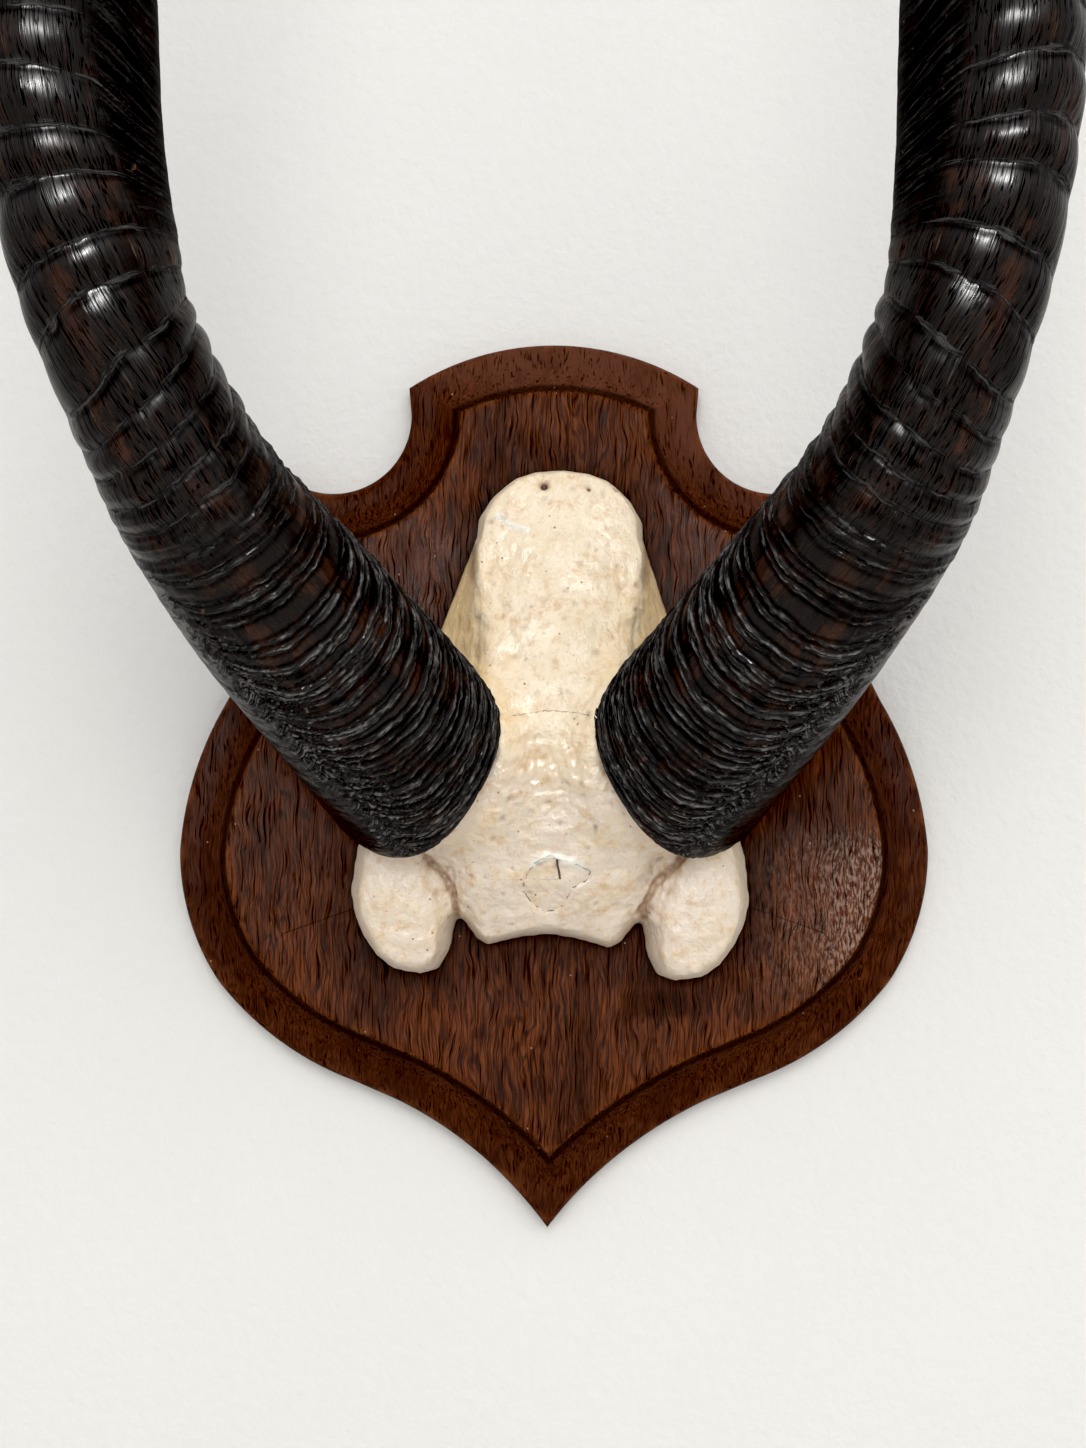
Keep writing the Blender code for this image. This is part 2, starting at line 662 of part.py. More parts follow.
def skull_cap(collection, cutters):
    """The sawn top of the skull as one solid: braincase, brow ridges and the stumps that carry the horns."""
    bm = skull_relief()
    bmesh.ops.transform(bm, matrix=skull_place(), verts=bm.verts)
    bmesh.ops.recalc_face_normals(bm, faces=bm.faces)
    for name in HORN_STATIONS:
        centre, normal = horn_base(name)
        root = centre - normal * PEDICLE_LENGTH
        add_rod(bm, PEDICLE_ROOT_RADIUS, PEDICLE_RADIUS, root, centre + normal * PEDICLE_OVERLAP, 40)
    cap = make_object("skull_cap", bm, collection, BONE)
    remesh = cap.modifiers.new("blend", "REMESH")
    remesh.mode = "VOXEL"
    remesh.voxel_size = SKULL_VOXEL * MM
    smooth = cap.modifiers.new("smooth", "SMOOTH")
    smooth.factor = 0.5
    smooth.iterations = SKULL_SMOOTHING
    applied(cap)
    fewer = cap.modifiers.new("fewer", "DECIMATE")
    fewer.ratio = SKULL_TRIANGLES / (2.0 * len(cap.data.polygons))
    applied(cap)
    half_space = (2.0 * RELIEF_SIZE[1], RELIEF_SIZE[1], 2.0 * RELIEF_SIZE[1])
    middle = (0.0, -BOARD_THICKNESS - GAP + half_space[1] / 2.0, 0.0)
    cut(cap, box_cutter("board_side", half_space, middle, cutters))
    for name in HORN_STATIONS:
        centre, normal = horn_base(name)
        near = centre - normal * GAP
        far = centre + normal * HORN_CLEARANCE_LENGTH
        clear = rod_cutter(name + "_clearance", HORN_CLEARANCE_RADIUS, near, far, cutters, 40)
        cut(cap, clear)
    for name, z in SKULL_SCREW_Z.items():
        near = (0.0, -BOARD_THICKNESS + PAST, z)
        far = (0.0, -COUNTERBORE_DEPTH - SKULL_SCREW["length"] - PAST, z)
        cut(cap, rod_cutter(name + "_bone_hole", SKULL_SCREW["shank"] + GAP, near, far, cutters))
    shade(applied(cap), 40.0)
    return cap


def main():
    for old in list(bpy.data.objects):
        bpy.data.objects.remove(old)
    scene = bpy.context.scene
    mount = bpy.data.collections.new("waterbuck_trophy_mount")
    cutters = bpy.data.collections.new("cutters")
    scene.collection.children.link(mount)
    scene.collection.children.link(cutters)
    shield(mount, cutters)
    hanger(mount, cutters)
    for name, x in hanger_screw_places().items():
        screw(name, HANGER_SCREW, (x, -hanger_seat(), HANGER_Z), mount, cutters)
    for name, z in SKULL_SCREW_Z.items():
        screw(name, SKULL_SCREW, (0.0, -COUNTERBORE_DEPTH, z), mount, cutters)
    skull_cap(mount, cutters)
    for name in HORN_STATIONS:
        horn(name, mount)


main()
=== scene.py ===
import math

import bmesh
import bpy
import numpy as np
from mathutils import Matrix, Vector


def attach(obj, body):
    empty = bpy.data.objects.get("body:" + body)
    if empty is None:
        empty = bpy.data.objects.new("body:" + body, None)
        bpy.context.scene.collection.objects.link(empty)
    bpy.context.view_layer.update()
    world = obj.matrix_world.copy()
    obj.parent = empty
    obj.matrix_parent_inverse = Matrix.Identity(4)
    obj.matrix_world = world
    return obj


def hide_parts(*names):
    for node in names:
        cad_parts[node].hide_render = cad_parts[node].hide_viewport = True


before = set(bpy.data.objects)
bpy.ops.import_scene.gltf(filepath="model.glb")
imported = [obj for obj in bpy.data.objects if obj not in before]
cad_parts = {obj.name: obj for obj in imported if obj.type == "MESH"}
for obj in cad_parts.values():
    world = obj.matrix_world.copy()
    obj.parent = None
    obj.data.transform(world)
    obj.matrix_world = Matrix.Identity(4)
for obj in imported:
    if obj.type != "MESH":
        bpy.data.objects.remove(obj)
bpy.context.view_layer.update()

MM = 0.001

# Camera: a photograph of 1086 x 1448 pixels, taken square to the wall. Its darkest tones are pulled to black.
CAMERA_PLACE = (-4.3, -975.0, 24.2)
CAMERA_LENS = 61.53
CAMERA_SENSOR = 36.0
BLACK_LEVEL = (0.007, 0.007, 0.0066)


# Shared helpers


def smooth(value):
    """0 below 0, 1 above 1, and a smooth rise between."""
    value = np.clip(value, 0.0, 1.0)
    return value * value * (3.0 - 2.0 * value)


def table(pairs, at):
    """The value at `at` of a table of (place, value) pairs."""
    return np.interp(at, [pair[0] for pair in pairs], [pair[1] for pair in pairs])


GRADIENTS = np.random.RandomState(7).normal(size=(256, 3))
GRADIENTS /= np.linalg.norm(GRADIENTS, axis=1)[:, None]
SHUFFLE = np.random.RandomState(11).permutation(256)


def wave_noise(x, y, z=0.0, seed=0):
    """Smooth noise from about -1 to 1 that varies once or so per unit of x, y and z."""
    x, y, z = np.broadcast_arrays(np.asarray(x, float), np.asarray(y, float), np.asarray(z, float))
    base = [np.floor(axis).astype(int) for axis in (x, y, z)]
    part = [axis - floor for axis, floor in zip((x, y, z), base)]
    ease = [t * t * t * (t * (t * 6.0 - 15.0) + 10.0) for t in part]
    total = np.zeros(x.shape)
    for i in (0, 1):
        for j in (0, 1):
            for k in (0, 1):
                spot = SHUFFLE[(base[0] + i + seed * 17) & 255]
                spot = SHUFFLE[(spot + base[1] + j) & 255]
                spot = SHUFFLE[(spot + base[2] + k) & 255]
                slope = GRADIENTS[spot]
                reach = sum(slope[..., n] * (part[n] - corner) for n, corner in enumerate((i, j, k)))
                weight = np.ones(x.shape)
                for corner, t in zip((i, j, k), ease):
                    weight = weight * (t if corner else 1.0 - t)
                total += weight * reach
    return total * 1.6


def layered_noise(x, y, z=0.0, layers=3, seed=0):
    """Noise with finer and weaker layers added."""
    x, y, z = (np.asarray(axis, float) for axis in (x, y, z))
    total = 0.0
    for layer in range(layers):
        size = 2.0**layer
        total = total + wave_noise(x * size, y * size, z * size, seed + layer) / size
    return total / (2.0 - 2.0 ** (1 - layers))


def mesh_object(name, points, faces, sharp=None):
    """A smooth-shaded object from points in millimetres and faces."""
    mesh = bpy.data.meshes.new(name)
    mesh.from_pydata((np.asarray(points) * MM).tolist(), [], faces)
    mesh.shade_smooth()
    if sharp:
        mesh.set_sharp_from_angle(angle=math.radians(sharp))
    made = bpy.data.objects.new(name, mesh)
    bpy.context.scene.collection.objects.link(made)
    return made


def add_values(made, **values):
    """Stores numbers on an object's points for its material to read."""
    for name, numbers in values.items():
        attribute = made.data.attributes.new(name, "FLOAT", "POINT")
        attribute.data.foreach_set("value", np.asarray(numbers, dtype=np.float32).ravel())


def tube_faces(rows, sides):
    """The quads between `rows` closed loops of `sides` points each."""
    low = np.arange(rows - 1)[:, None] * sides
    side = np.arange(sides)[None, :]
    following = (side + 1) % sides
    quads = np.stack([low + side, low + following, low + sides + following, low + sides + side], axis=-1)
    return quads.reshape(-1, 4).tolist()


def finished_mesh(made):
    """An object's mesh with its modifiers applied."""
    bpy.context.view_layer.update()
    graph = bpy.context.evaluated_depsgraph_get()
    return bpy.data.meshes.new_from_object(made.evaluated_get(graph))


def place_piece(made, node, material):
    """Dresses a piece, puts it on the frame and lets it stand for its node."""
    made.data.materials.append(material)
    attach(made, "root")
    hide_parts(node)


# Materials


class Shader:
    """A Principled material with short calls for its nodes. Its coordinates are in millimetres."""

    def __init__(self, name):
        self.material = bpy.data.materials.new(name)
        self.material.use_nodes = True
        self.tree = self.material.node_tree
        self.surface = self.tree.nodes["Principled BSDF"]
        self.coordinates = None

    def node(self, kind, **settings):
        made = self.tree.nodes.new(kind)
        for key, value in settings.items():
            setattr(made, key, value)
        return made

    def link(self, source, target):
        if isinstance(source, (int, float)):
            target.default_value = source
        elif isinstance(source, tuple):
            target.default_value = (*source, 1.0) if len(source) == 3 and target.type == "RGBA" else source
        else:
            self.tree.links.new(source, target)

    def place(self):
        """The point on the object, in millimetres."""
        if self.coordinates is None:
            point = self.node("ShaderNodeTexCoord").outputs["Object"]
            self.coordinates = self.scaled(point, 1.0 / MM)
        return self.coordinates

    def scaled(self, vector, scale):
        made = self.node("ShaderNodeVectorMath", operation="MULTIPLY")
        self.link(vector, made.inputs[0])
        made.inputs[1].default_value = scale if isinstance(scale, tuple) else (scale,) * 3
        return made.outputs[0]

    def attribute(self, name):
        return self.node("ShaderNodeAttribute", attribute_name=name).outputs["Fac"]

    def join(self, x, y, z):
        made = self.node("ShaderNodeCombineXYZ")
        for source, target in zip((x, y, z), made.inputs):
            self.link(source, target)
        return made.outputs[0]

    def part(self, axis):
        """One coordinate of the point on the object."""
        made = self.node("ShaderNodeSeparateXYZ")
        self.link(self.place(), made.inputs[0])
        return made.outputs[axis]

    def maths(self, operation, first, second=0.0):
        made = self.node("ShaderNodeMath", operation=operation)
        self.link(first, made.inputs[0])
        self.link(second, made.inputs[1])
        return made.outputs[0]

    def times(self, first, second):
        return self.maths("MULTIPLY", first, second)

    def plus(self, first, second):
        return self.maths("ADD", first, second)

    def centred(self, noise, size):
        """Noise moved from 0 to 1 to either side of zero, over `size` in all."""
        return self.times(self.maths("SUBTRACT", noise, 0.5), size)

    def noise(self, vector, scale, detail=3.0, roughness=0.55, distortion=0.0):
        """Noise from 0 to 1 with cells of 1 / scale in each direction."""
        made = self.node("ShaderNodeTexNoise")
        made.inputs["Scale"].default_value = 1.0
        made.inputs["Detail"].default_value = detail
        made.inputs["Roughness"].default_value = roughness
        made.inputs["Distortion"].default_value = distortion
        self.link(self.scaled(vector, scale), made.inputs["Vector"])
        return made.outputs["Fac"]

    def cells(self, vector, scale):
        """The distance to the nearest of scattered points."""
        made = self.node("ShaderNodeTexVoronoi")
        made.inputs["Scale"].default_value = 1.0
        self.link(self.scaled(vector, scale), made.inputs["Vector"])
        return made.outputs["Distance"]

    def ramp(self, value, low, high, start=0.0, end=1.0):
        """The value mapped from low..high to start..end, with smooth ends."""
        made = self.node("ShaderNodeMapRange", interpolation_type="SMOOTHSTEP")
        self.link(value, made.inputs["Value"])
        for key, number in (("From Min", low), ("From Max", high), ("To Min", start), ("To Max", end)):
            made.inputs[key].default_value = number
        return made.outputs["Result"]

    def fade(self, value, cover, left):
        """The value, brought down to the share `left` of itself where the cover is 1."""
        return self.times(value, self.ramp(cover, 0.0, 1.0, 1.0, left))

    def mix(self, share, first, second):
        made = self.node("ShaderNodeMix", data_type="RGBA")
        self.link(share, made.inputs["Factor"])
        self.link(first, made.inputs["A"])
        self.link(second, made.inputs["B"])
        return made.outputs["Result"]

    def tint(self, colour, cover, strength, target):
        """The colour turned towards a target colour, by at most `strength`, where the cover is 1."""
        return self.mix(self.times(cover, strength), colour, target)

    def bump(self, height, distance, strength=1.0, normal=None):
        """A bump of `distance` millimetres where the height goes from 0 to 1."""
        made = self.node("ShaderNodeBump")
        made.inputs["Strength"].default_value = strength
        made.inputs["Distance"].default_value = distance * MM
        self.link(height, made.inputs["Height"])
        if normal is not None:
            self.link(normal, made.inputs["Normal"])
        return made.outputs["Normal"]

    def finish(self, colour, roughness, normal=None, **values):
        self.link(colour, self.surface.inputs["Base Color"])
        self.link(roughness, self.surface.inputs["Roughness"])
        if normal is not None:
            self.link(normal, self.surface.inputs["Normal"])
        for key, value in values.items():
            self.surface.inputs[key.replace("_", " ")].default_value = value
        return self.material


def oak_material():
    """Dark stained oak: wavy grain, open pores, a rim darker by stain and painted shade and lighter at the
    top by painted light, rubbed edges, dust and worn varnish with a painted sheen on the right, and grime
    with painted shade round the skull and in the cove.
    """
    s = Shader("stained_oak")
    place = s.place()
    sway = s.centred(s.noise(place, (0.09, 0.09, 0.045), 2.0), 7.0)
    wavy = s.join(s.plus(s.part(0), sway), s.part(1), s.part(2))
    grain = s.noise(wavy, (0.5, 0.5, 0.03), 4.0, 0.6)
    streak = s.noise(wavy, (1.5, 1.5, 0.09), 4.0, 0.65)
    pores = s.ramp(s.noise(wavy, (1.1, 1.1, 0.05), 3.0, 0.55, 0.3), 0.56, 0.67)
    years = s.times(s.noise(wavy, (0.06, 0.06, 0.0055), 3.0, 0.5), 26.0)
    years = s.ramp(s.maths("PINGPONG", years, 0.5), 0.2, 0.06)
    cloud = s.noise(place, (0.03, 0.03, 0.014), 3.0)
    colour = s.mix(s.ramp(grain, 0.3, 0.7), (0.030, 0.0060, 0.0020), (0.120, 0.030, 0.0090))
    colour = s.mix(s.ramp(streak, 0.4, 0.7, 0.0, 0.7), colour, (0.245, 0.071, 0.022))
    colour = s.mix(s.ramp(streak, 0.48, 0.32, 0.0, 0.9), colour, (0.009, 0.0024, 0.0012))
    colour = s.tint(colour, years, 0.62, (0.0075, 0.0024, 0.0013))
    colour = s.mix(s.ramp(cloud, 0.44, 0.66, 0.0, 0.6), colour, (0.022, 0.0055, 0.0024))
    # The moulding darker than the field: a stain, and painted shade.
    rim = s.attribute("rim")
    colour = s.tint(colour, rim, 0.6, (0.033, 0.0075, 0.0032))
    # Painted light: the rim lighter towards its top and right, where the light falls on it.
    level = s.plus(s.part(2), s.times(s.part(0), 0.35))
    upper = s.times(rim, s.ramp(level, 122.0, 160.0))
    upper = s.times(upper, s.ramp(s.noise(wavy, (0.16, 0.16, 0.05), 4.0), 0.36, 0.56, 0.6, 1.0))
    colour = s.tint(colour, upper, 0.6, (0.155, 0.056, 0.032))
    rubbed = s.times(s.attribute("wear"), s.ramp(s.noise(place, 0.12, 4.0), 0.42, 0.68))
    colour = s.tint(colour, rubbed, 0.6, (0.26, 0.080, 0.026))
    # Paler wood on the right: dust and worn varnish, with a painted sheen.
    bare = s.ramp(s.noise(wavy, (1.1, 1.1, 0.3), 3.0, 0.65), 0.45, 0.6)
    colour = s.tint(colour, s.times(s.attribute("pale_and_sheen"), bare), 0.75, (0.40, 0.27, 0.205))
    # Grime and stains, with painted shade round the skull and in the cove's steep band.
    grime_and_shade = s.attribute("grime_and_shade")
    colour = s.tint(colour, grime_and_shade, 0.85, (0.0105, 0.0060, 0.0042))
    colour = s.tint(colour, pores, 0.75, (0.0050, 0.0025, 0.0015))
    specks = s.ramp(s.cells(place, (0.13, 0.13, 0.11)), 0.05, 0.03)
    colour = s.tint(colour, specks, 0.6, (0.50, 0.38, 0.27))
    height = s.maths("SUBTRACT", s.times(streak, 0.6), s.times(pores, 0.8))
    normal = s.bump(height, 0.42, 0.9)
    normal = s.bump(s.noise(place, (0.1, 0.1, 0.05), 3.0), 0.6, 0.5, normal)
    rough = s.ramp(s.noise(place, 0.05, 4.0), 0.3, 0.7, 0.3, 0.46)
    gloss = s.fade(s.ramp(grime_and_shade, 0.0, 1.0, 0.055, 0.02), pores, 0.15)
    gloss = s.times(gloss, s.ramp(s.part(2), 70.0, 130.0, 1.0, 0.35))
    s.link(gloss, s.surface.inputs["Specular IOR Level"])
    return s.finish(colour, s.plus(rough, s.times(pores, 0.3)), normal)


def bone_material():
    """Bleached bone: a warm braincase, a greyer brow and tan sides, with pits, stains and hairlines, dirt
    with painted shade in its creases, holes and along its foot, and a painted highlight on the scar and the
    plug's rim.
    """
    s = Shader("bleached_bone")
    place = s.place()
    cloud = s.noise(place, 0.05, 4.0, 0.6)
    mottle = s.noise(place, 0.2, 5.0, 0.65)
    fine = s.noise(place, 0.8, 5.0, 0.65)
    colour = s.mix(s.attribute("warm"), (0.86, 0.735, 0.60), (0.96, 0.80, 0.59))
    colour = s.mix(s.ramp(cloud, 0.42, 0.7, 0.0, 0.5), colour, (0.83, 0.665, 0.43))
    colour = s.mix(s.ramp(mottle, 0.5, 0.72, 0.0, 0.7), colour, (0.74, 0.50, 0.26))
    colour = s.mix(s.ramp(fine, 0.55, 0.75, 0.0, 0.38), colour, (0.68, 0.45, 0.24))
    tan = s.times(s.attribute("tan"), s.ramp(mottle, 0.3, 0.6, 0.65, 0.95))
    colour = s.mix(tan, colour, (1.0, 0.71, 0.36))
    # Painted highlight: the raised scar and the plug's rim made paler where light catches them.
    colour = s.mix(s.attribute("pale_and_sheen"), colour, (1.0, 0.97, 0.89))
    # Dirt in the pits and grooves, with painted shade in the holes, the notch, the creases and along the
    # bone's foot.
    dirt_and_shade = s.times(s.attribute("dirt_and_shade"), s.ramp(s.noise(place, 0.3, 4.0), 0.25, 0.62, 0.35, 1.0))
    colour = s.tint(colour, dirt_and_shade, 0.85, (0.23, 0.125, 0.085))
    thin = s.ramp(s.noise(place, 0.045, 2.0), 0.42, 0.56)
    pin = s.times(s.ramp(s.cells(place, 0.2), 0.1, 0.065), thin)
    stain = s.times(s.ramp(s.cells(place, 0.1), 0.15, 0.03), s.ramp(fine, 0.4, 0.6))
    colour = s.tint(colour, stain, 0.6, (0.56, 0.33, 0.16))
    colour = s.tint(colour, pin, 0.8, (0.13, 0.065, 0.04))
    # Tan in the sunken places and creases: stain, with painted shade.
    colour = s.tint(colour, s.attribute("hollow"), 0.3, (0.62, 0.36, 0.17))
    dashes = s.ramp(s.noise(place, 0.42, 2.0), 0.44, 0.54)
    waver = s.centred(s.noise(place, 0.5, 3.0), 1.6)
    split = s.ramp(s.maths("ABSOLUTE", s.attribute("split_gap")), 0.6, 0.3)
    outline = s.ramp(s.maths("ABSOLUTE", s.plus(s.attribute("plug_gap"), waver)), 0.3, 0.1)
    top_line = s.ramp(s.attribute("plug_top"), 0.0, 1.0, 0.85, 0.5)
    outline = s.times(s.times(outline, dashes), top_line)
    suture = s.ramp(s.maths("ABSOLUTE", s.plus(s.attribute("suture_gap"), waver)), 0.26, 0.08)
    suture = s.times(suture, s.ramp(dashes, 0.0, 1.0, 0.3, 0.75))
    line = s.maths("MAXIMUM", s.maths("MAXIMUM", split, outline), suture)
    # Painted shade: the foramen and the small pit made near black inside.
    line = s.maths("MAXIMUM", line, s.ramp(s.attribute("hole"), 0.3, 0.75))
    colour = s.mix(line, colour, (0.07, 0.03, 0.018))
    calm = s.ramp(s.attribute("gloss"), 0.0, 1.0, 1.0, 0.42)
    height = s.maths("SUBTRACT", fine, s.times(s.plus(pin, stain), 0.7))
    normal = s.bump(s.times(height, calm), 0.3, 0.85)
    normal = s.bump(s.times(mottle, calm), 1.1, 0.75, normal)
    rough = s.ramp(s.noise(place, 0.1, 4.0), 0.3, 0.7, 0.3, 0.48)
    rough = s.maths("SUBTRACT", rough, s.times(s.attribute("gloss"), 0.34))
    rough = s.maths("MAXIMUM", rough, 0.07)
    s.finish(colour, rough, normal, Specular_IOR_Level=0.5, Subsurface_Weight=0.08, Subsurface_Scale=0.003)
    s.surface.inputs["Subsurface Radius"].default_value = (1.0, 0.55, 0.3)
    return s.material


def horn_material():
    """Dark horn: red-brown and black keratin, split lengthwise, under a dry grey crust on the rings, with
    painted shade in the grooves and a painted highlight on the crust's crests.
    """
    s = Shader("horn_keratin")
    place = s.place()
    across = s.attribute("across")
    along = s.attribute("along")
    ring = s.attribute("ring")
    crust = s.attribute("crust")
    open_part = s.attribute("open")
    lengthwise = s.join(across, along, 0.0)
    crosswise = s.join(across, ring, 0.0)
    splits = s.noise(lengthwise, (0.8, 0.035, 1.0), 4.0, 0.6)
    hairs = s.noise(lengthwise, (1.5, 0.05, 1.0), 3.0, 0.55)
    flakes = s.noise(crosswise, (0.11, 1.1, 1.0), 4.0, 0.65)
    crumb = s.noise(place, 0.75, 5.0, 0.7)
    patch = s.noise(lengthwise, (0.07, 0.035, 1.0), 4.0, 0.65, 0.3)
    closed = s.times(s.maths("SUBTRACT", 1.0, open_part), 0.06)
    bare = s.ramp(s.plus(patch, closed), 0.52, 0.70)
    flank = s.attribute("flank")
    bare = s.fade(s.fade(bare, s.attribute("keel"), 0.1), flank, 0.1)
    colour = s.mix(bare, (0.0080, 0.0054, 0.0043), (0.050, 0.0190, 0.0095))
    fibre = s.fade(s.ramp(splits, 0.55, 0.72, 0.0, 0.5), flank, 0.1)
    colour = s.mix(fibre, colour, (0.060, 0.023, 0.012))
    colour = s.mix(s.ramp(splits, 0.45, 0.33, 0.0, 0.75), colour, (0.0025, 0.002, 0.0018))
    from_crack = s.maths("SUBTRACT", s.noise(lengthwise, (0.95, 0.05, 1.0), 2.0, 0.5), 0.5)
    cracks = s.ramp(s.maths("ABSOLUTE", from_crack), 0.036, 0.014)
    cracks = s.times(cracks, s.ramp(open_part, 0.0, 1.0, 0.35, 0.9))
    colour = s.mix(cracks, colour, (0.0012, 0.001, 0.001))
    scratch = s.times(s.ramp(hairs, 0.66, 0.72), open_part)
    colour = s.tint(colour, scratch, 0.6, (0.16, 0.12, 0.10))
    # Painted shade: the grooves under the lips and beside the crust strips made near black.
    groove = s.attribute("groove")
    colour = s.mix(groove, colour, (0.0018, 0.0014, 0.0013))
    rough_edge = s.plus(crust, s.centred(crumb, 0.75))
    dry = s.ramp(rough_edge, 0.4, 0.6)
    # The grey crust, paler on its crests: its own colour, with a painted highlight on the crests.
    crest = s.plus(s.attribute("crest"), s.centred(crumb, 1.1))
    crest = s.times(s.ramp(crest, 0.25, 0.7, 0.25, 1.0), s.ramp(flakes, 0.46, 0.6))
    grey = s.mix(crest, (0.0090, 0.0082, 0.0077), (0.21, 0.20, 0.19))
    grey = s.mix(s.times(flank, 0.75), grey, (0.0060, 0.0052, 0.0048))
    colour = s.tint(colour, dry, 0.92, grey)
    chip = s.times(s.ramp(s.noise(place, 0.3, 3.0), 0.7, 0.75), s.ramp(crust, 0.05, 0.5))
    colour = s.tint(colour, chip, 0.6, (0.20, 0.10, 0.06))
    rough = s.ramp(s.noise(place, 0.11, 4.0), 0.3, 0.7, 0.2, 0.34)
    rough = s.plus(rough, s.times(s.maths("MAXIMUM", dry, flank), 0.22))
    lines = s.plus(s.times(splits, 0.8), s.times(hairs, 0.7))
    normal = s.bump(s.times(lines, s.ramp(open_part, 0.0, 1.0, 0.6, 1.0)), 0.21, 0.85)
    rugged = s.plus(s.times(crumb, 0.5), s.times(flakes, 0.8))
    normal = s.bump(s.times(rugged, dry), 0.9, 0.9, normal)
    shine = s.ramp(dry, 0.0, 1.0, 0.25, 0.105)
    for cover, left in ((groove, 0.2), (cracks, 0.1), (flank, 0.3), (s.attribute("dull"), 0.15)):
        shine = s.fade(shine, cover, left)
    s.link(shine, s.surface.inputs["Specular IOR Level"])
    return s.finish(colour, rough, normal)


def steel_material():
    """Dulled zinc-plated steel with a little rust in the corners."""
    s = Shader("dull_steel")
    place = s.place()
    cloud = s.noise(place, 0.35, 4.0)
    rust = s.ramp(s.noise(place, 0.5, 5.0, 0.7), 0.56, 0.72)
    colour = s.mix(s.ramp(cloud, 0.3, 0.7), (0.26, 0.25, 0.235), (0.46, 0.45, 0.43))
    colour = s.tint(colour, rust, 0.8, (0.16, 0.06, 0.025))
    rough = s.plus(s.ramp(cloud, 0.3, 0.7, 0.34, 0.5), s.times(rust, 0.25))
    normal = s.bump(s.noise(place, (3.0, 3.0, 0.3), 3.0), 0.06, 0.6)
    return s.finish(colour, rough, normal, Metallic=0.9)


def wall_material(name, colour, grain):
    """Painted plaster."""
    s = Shader(name)
    place = s.place()
    shade = s.mix(s.ramp(s.noise(place, 0.006, 3.0), 0.3, 0.7), colour, tuple(c * 0.985 for c in colour))
    normal = s.bump(s.noise(place, grain, 4.0, 0.6), 0.8, 0.9)
    return s.finish(shade, 0.85, normal, Specular_IOR_Level=0.2)


# Shield

BOARD_THICKNESS = 20.0
SHIELD_TOP = 172.3
SHIELD_TIP = -172.7
ARCH_CORNER = (56.6, 155.5)
ARCH_ARC = 33.0
SCOOP_START = (55.7, 144.9)
EAR = (108.0, 123.2)
SCOOP_ARC = 135.0
WAIST = (127.8, 33.2)
WAIST_ARC = 31.0
WIDEST = (146.3, -25.0)
LOBE_ARCS = (26.6, 33.4, 32.6)
LOBE_TURN = (131.6, -75.8)
LOBE_END = (78.8, -114.9)
OGEE_START = (60.6, -122.7)
OGEE_ARC = 28.0
TIP_LEAN = -2.6
LEAN_BELOW = -95.0
SIDE_COUNTS = (44, 56, 170)
# The hanger's recess (width, height, depth) and the holes for the screws: radius and depth from the back.
HANGER_RECESS = (54.0, 18.0, 3.6)
HANGER_Z = 118.0
HANGER_SCREW_X = 19.0
PILOT = (1.5, 15.1)
SKULL_SCREW_Z = (62.0, -24.0)
SKULL_SCREW_HOLE = 2.7
COUNTERBORE = (5.5, 5.1)
BACK_INSET = 1.2
DENT_HEIGHT = 0.12
DENTED_WITHIN = 22.0
FIELD_CENTRE_Z = -20.0
FIELD_RINGS = 32
SHARP_ANGLE = 28.0
# Stains on the field: a flat trace (middle, half size) with a round one over it (middle, radius), and a faint
# upright run (place, lean and width).
FLAT_TRACE = (42.0, -84.0, 17.0, 6.5)
ROUND_TRACE = (40.0, -68.0, 5.0)
RUN = (9.0, -110.0, 0.06, 7.5)
# Distance in from the rim, height above the back and how rubbed the wood is there.
MOULDING = (
    (0.0, 1.2, 0.0), (0.0, 6.8, 0.15), (0.25, 7.7, 0.6), (0.9, 8.5, 0.9), (1.7, 9.1, 0.55), (3.2, 9.45, 0.2),
    (5.5, 9.8, 0.08), (8.0, 10.3, 0.03), (10.5, 11.0, 0.0), (12.6, 11.9, 0.0), (14.4, 13.1, 0.0),
    (15.9, 14.4, 0.0), (17.1, 15.7, 0.0), (18.1, 17.1, 0.05), (18.9, 18.4, 0.25), (19.4, 19.2, 0.75),
    (20.0, 19.75, 1.0), (20.8, 19.95, 0.7), (22.2, 20.0, 0.3), (26.0, 20.0, 0.06), (34.0, 20.0, 0.0),
)  # fmt: skip


def arc_points(start, end, included, count):
    """Points along an arc that turns through `included` degrees, after `start` and up to `end`."""
    start = Vector(start)
    chord = Vector(end) - start
    piece = math.radians(included) / count
    length = chord.length / count
    if included:
        length = chord.length * math.sin(abs(piece) / 2.0) / math.sin(abs(included) * math.pi / 360.0)
    heading = math.atan2(chord.y, chord.x) - math.radians(included) / 2.0
    points = []
    point = start
    for _ in range(count):
        heading += piece / 2.0
        point = point + Vector((math.cos(heading), math.sin(heading))) * length
        heading += piece / 2.0
        points.append(point)
    return points


